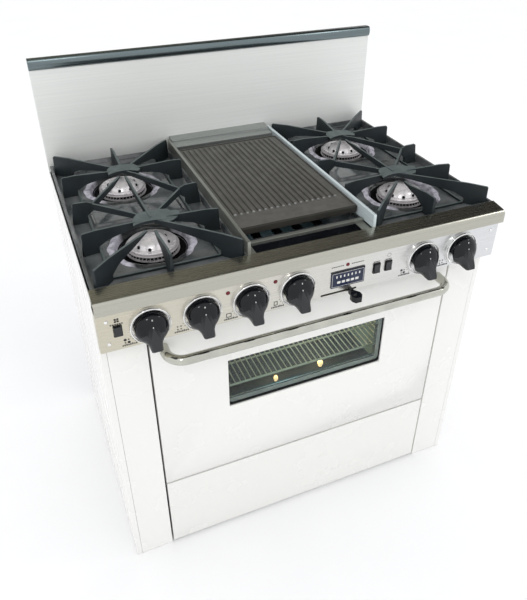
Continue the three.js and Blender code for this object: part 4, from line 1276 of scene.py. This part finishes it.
# name, place, power, size and colour of each lamp inside the oven
OVEN_LIGHTS = (
    ("oven_glow_a", (0.005, -0.055, 0.33), 1.0, 0.02, (1.0, 0.66, 0.3)),
    ("oven_glow_b", (0.145, -0.045, 0.33), 1.5, 0.02, (1.0, 0.68, 0.32)),
    ("oven_fill", (0.05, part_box("oven_liner")[0].y + 0.22, 0.61), 3.6, 0.1, (0.88, 1.0, 1.0)),
)
# Warm glowing shapes on the oven floor at two bright glows: painted glows, not lamps of the oven.
PAINTED_GLOWS = (("left", 0.004, -0.074, 6 * MM), ("right", 0.145, -0.066, 8 * MM))


def make_rack(node):
    lo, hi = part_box(node)
    inset = RACK_FRAME_R
    x0, x1, y0, y1 = lo.x + inset, hi.x - inset, lo.y + inset, hi.y - inset
    low = lo.z + inset
    bm = bmesh.new()
    for k in range(RACK_BARS + 1):
        y = y0 + (y1 - y0) * k / RACK_BARS
        sweep(bm, [(x0, y, low), (x1, y, low)], RACK_BAR_R if k % RACK_BARS else RACK_FRAME_R, 10)
    for x in (x0, x1):
        sweep(bm, [(x, y0, low), (x, y1, low)], RACK_FRAME_R, 10)
    high = low + RACK_FRAME_R
    for k in range(1, RACK_WIRES):
        x = x0 + (x1 - x0) * k / RACK_WIRES
        sweep(bm, [(x, y0 - 1 * MM, high), (x, y1 + 1 * MM, high)], RACK_WIRE_R, 8)
    finish_piece(f"{node}_wires", bm, WIRE_CHROME, "range_body", [node], sharp=50)


def make_bulb():
    lo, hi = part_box("oven_lamp")
    centre = middle_of("oven_lamp")
    centre.z = lo.z
    bulb = in_mm((0, 0), (7, 0.8), (12, 4), (15, 10), (15, 16), (11, 26))
    bm = bmesh.new()
    lathe(bm, bulb + [(11 * MM, hi.z - lo.z), (0, hi.z - lo.z)], centre, "z", 32)
    finish_piece("oven_lamp_bulb", bm, BULB, "range_body", ["oven_lamp"], sharp=50)


def make_oven_lights():
    for name, spot, power, radius, tone in OVEN_LIGHTS:
        data = bpy.data.lights.new(name, "POINT")
        data.energy = power
        data.shadow_soft_size = radius
        data.color = tone
        lamp = bpy.data.objects.new(name, data)
        lamp.location = spot
        lamp.visible_camera = lamp.visible_transmission = lamp.visible_glossy = False
        bpy.context.collection.objects.link(lamp)


def make_oven():
    refined("oven_liner", OVEN, "range_body", 0.8 * MM)
    make_rack("oven_rack_lower")
    make_rack("oven_rack_upper")
    make_bulb()
    lo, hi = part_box("oven_liner")
    bm = bmesh.new()
    cuboid(bm, lo + Vector((6, 6, 2.2)) * MM, (hi.x - 6 * MM, hi.y - 6 * MM, lo.z + 3.2 * MM))
    finish_piece("oven_floor_sheet", bm, OVEN_FLOOR, "range_body", bevel=0.3 * MM)
    make_oven_lights()
    # Painted glows: warm glowing shapes on the oven floor.
    for name, x, y, radius in PAINTED_GLOWS:
        glow_outline = [(0, 0), (radius * 0.7, 0), (radius * 0.7, 3 * MM), (radius, 8 * MM), (radius, 13 * MM),
                 (radius * 0.6, 18 * MM), (0, 19.5 * MM)]
        bm = bmesh.new()
        lathe(bm, glow_outline, Vector((x, y, lo.z + 3 * MM)), "z", 24)
        finish_piece(f"oven_painted_glow_{name}", bm, PAINTED_GLOW, "range_body", sharp=50)


make_camera()
make_floor()
make_cards()
make_lights()
make_cabinet()
for burner_place in BURNERS:
    make_burner_cap(burner_place)
    make_burner_head(burner_place)
    make_bowl(burner_place)
make_tray("left", 1)
make_tray("right", -1)
make_grate("left")
make_grate("right")
make_plate()
make_trough()
make_panel()
for knob_name in KNOBS:
    make_knob(knob_name)
make_door()
make_oven()
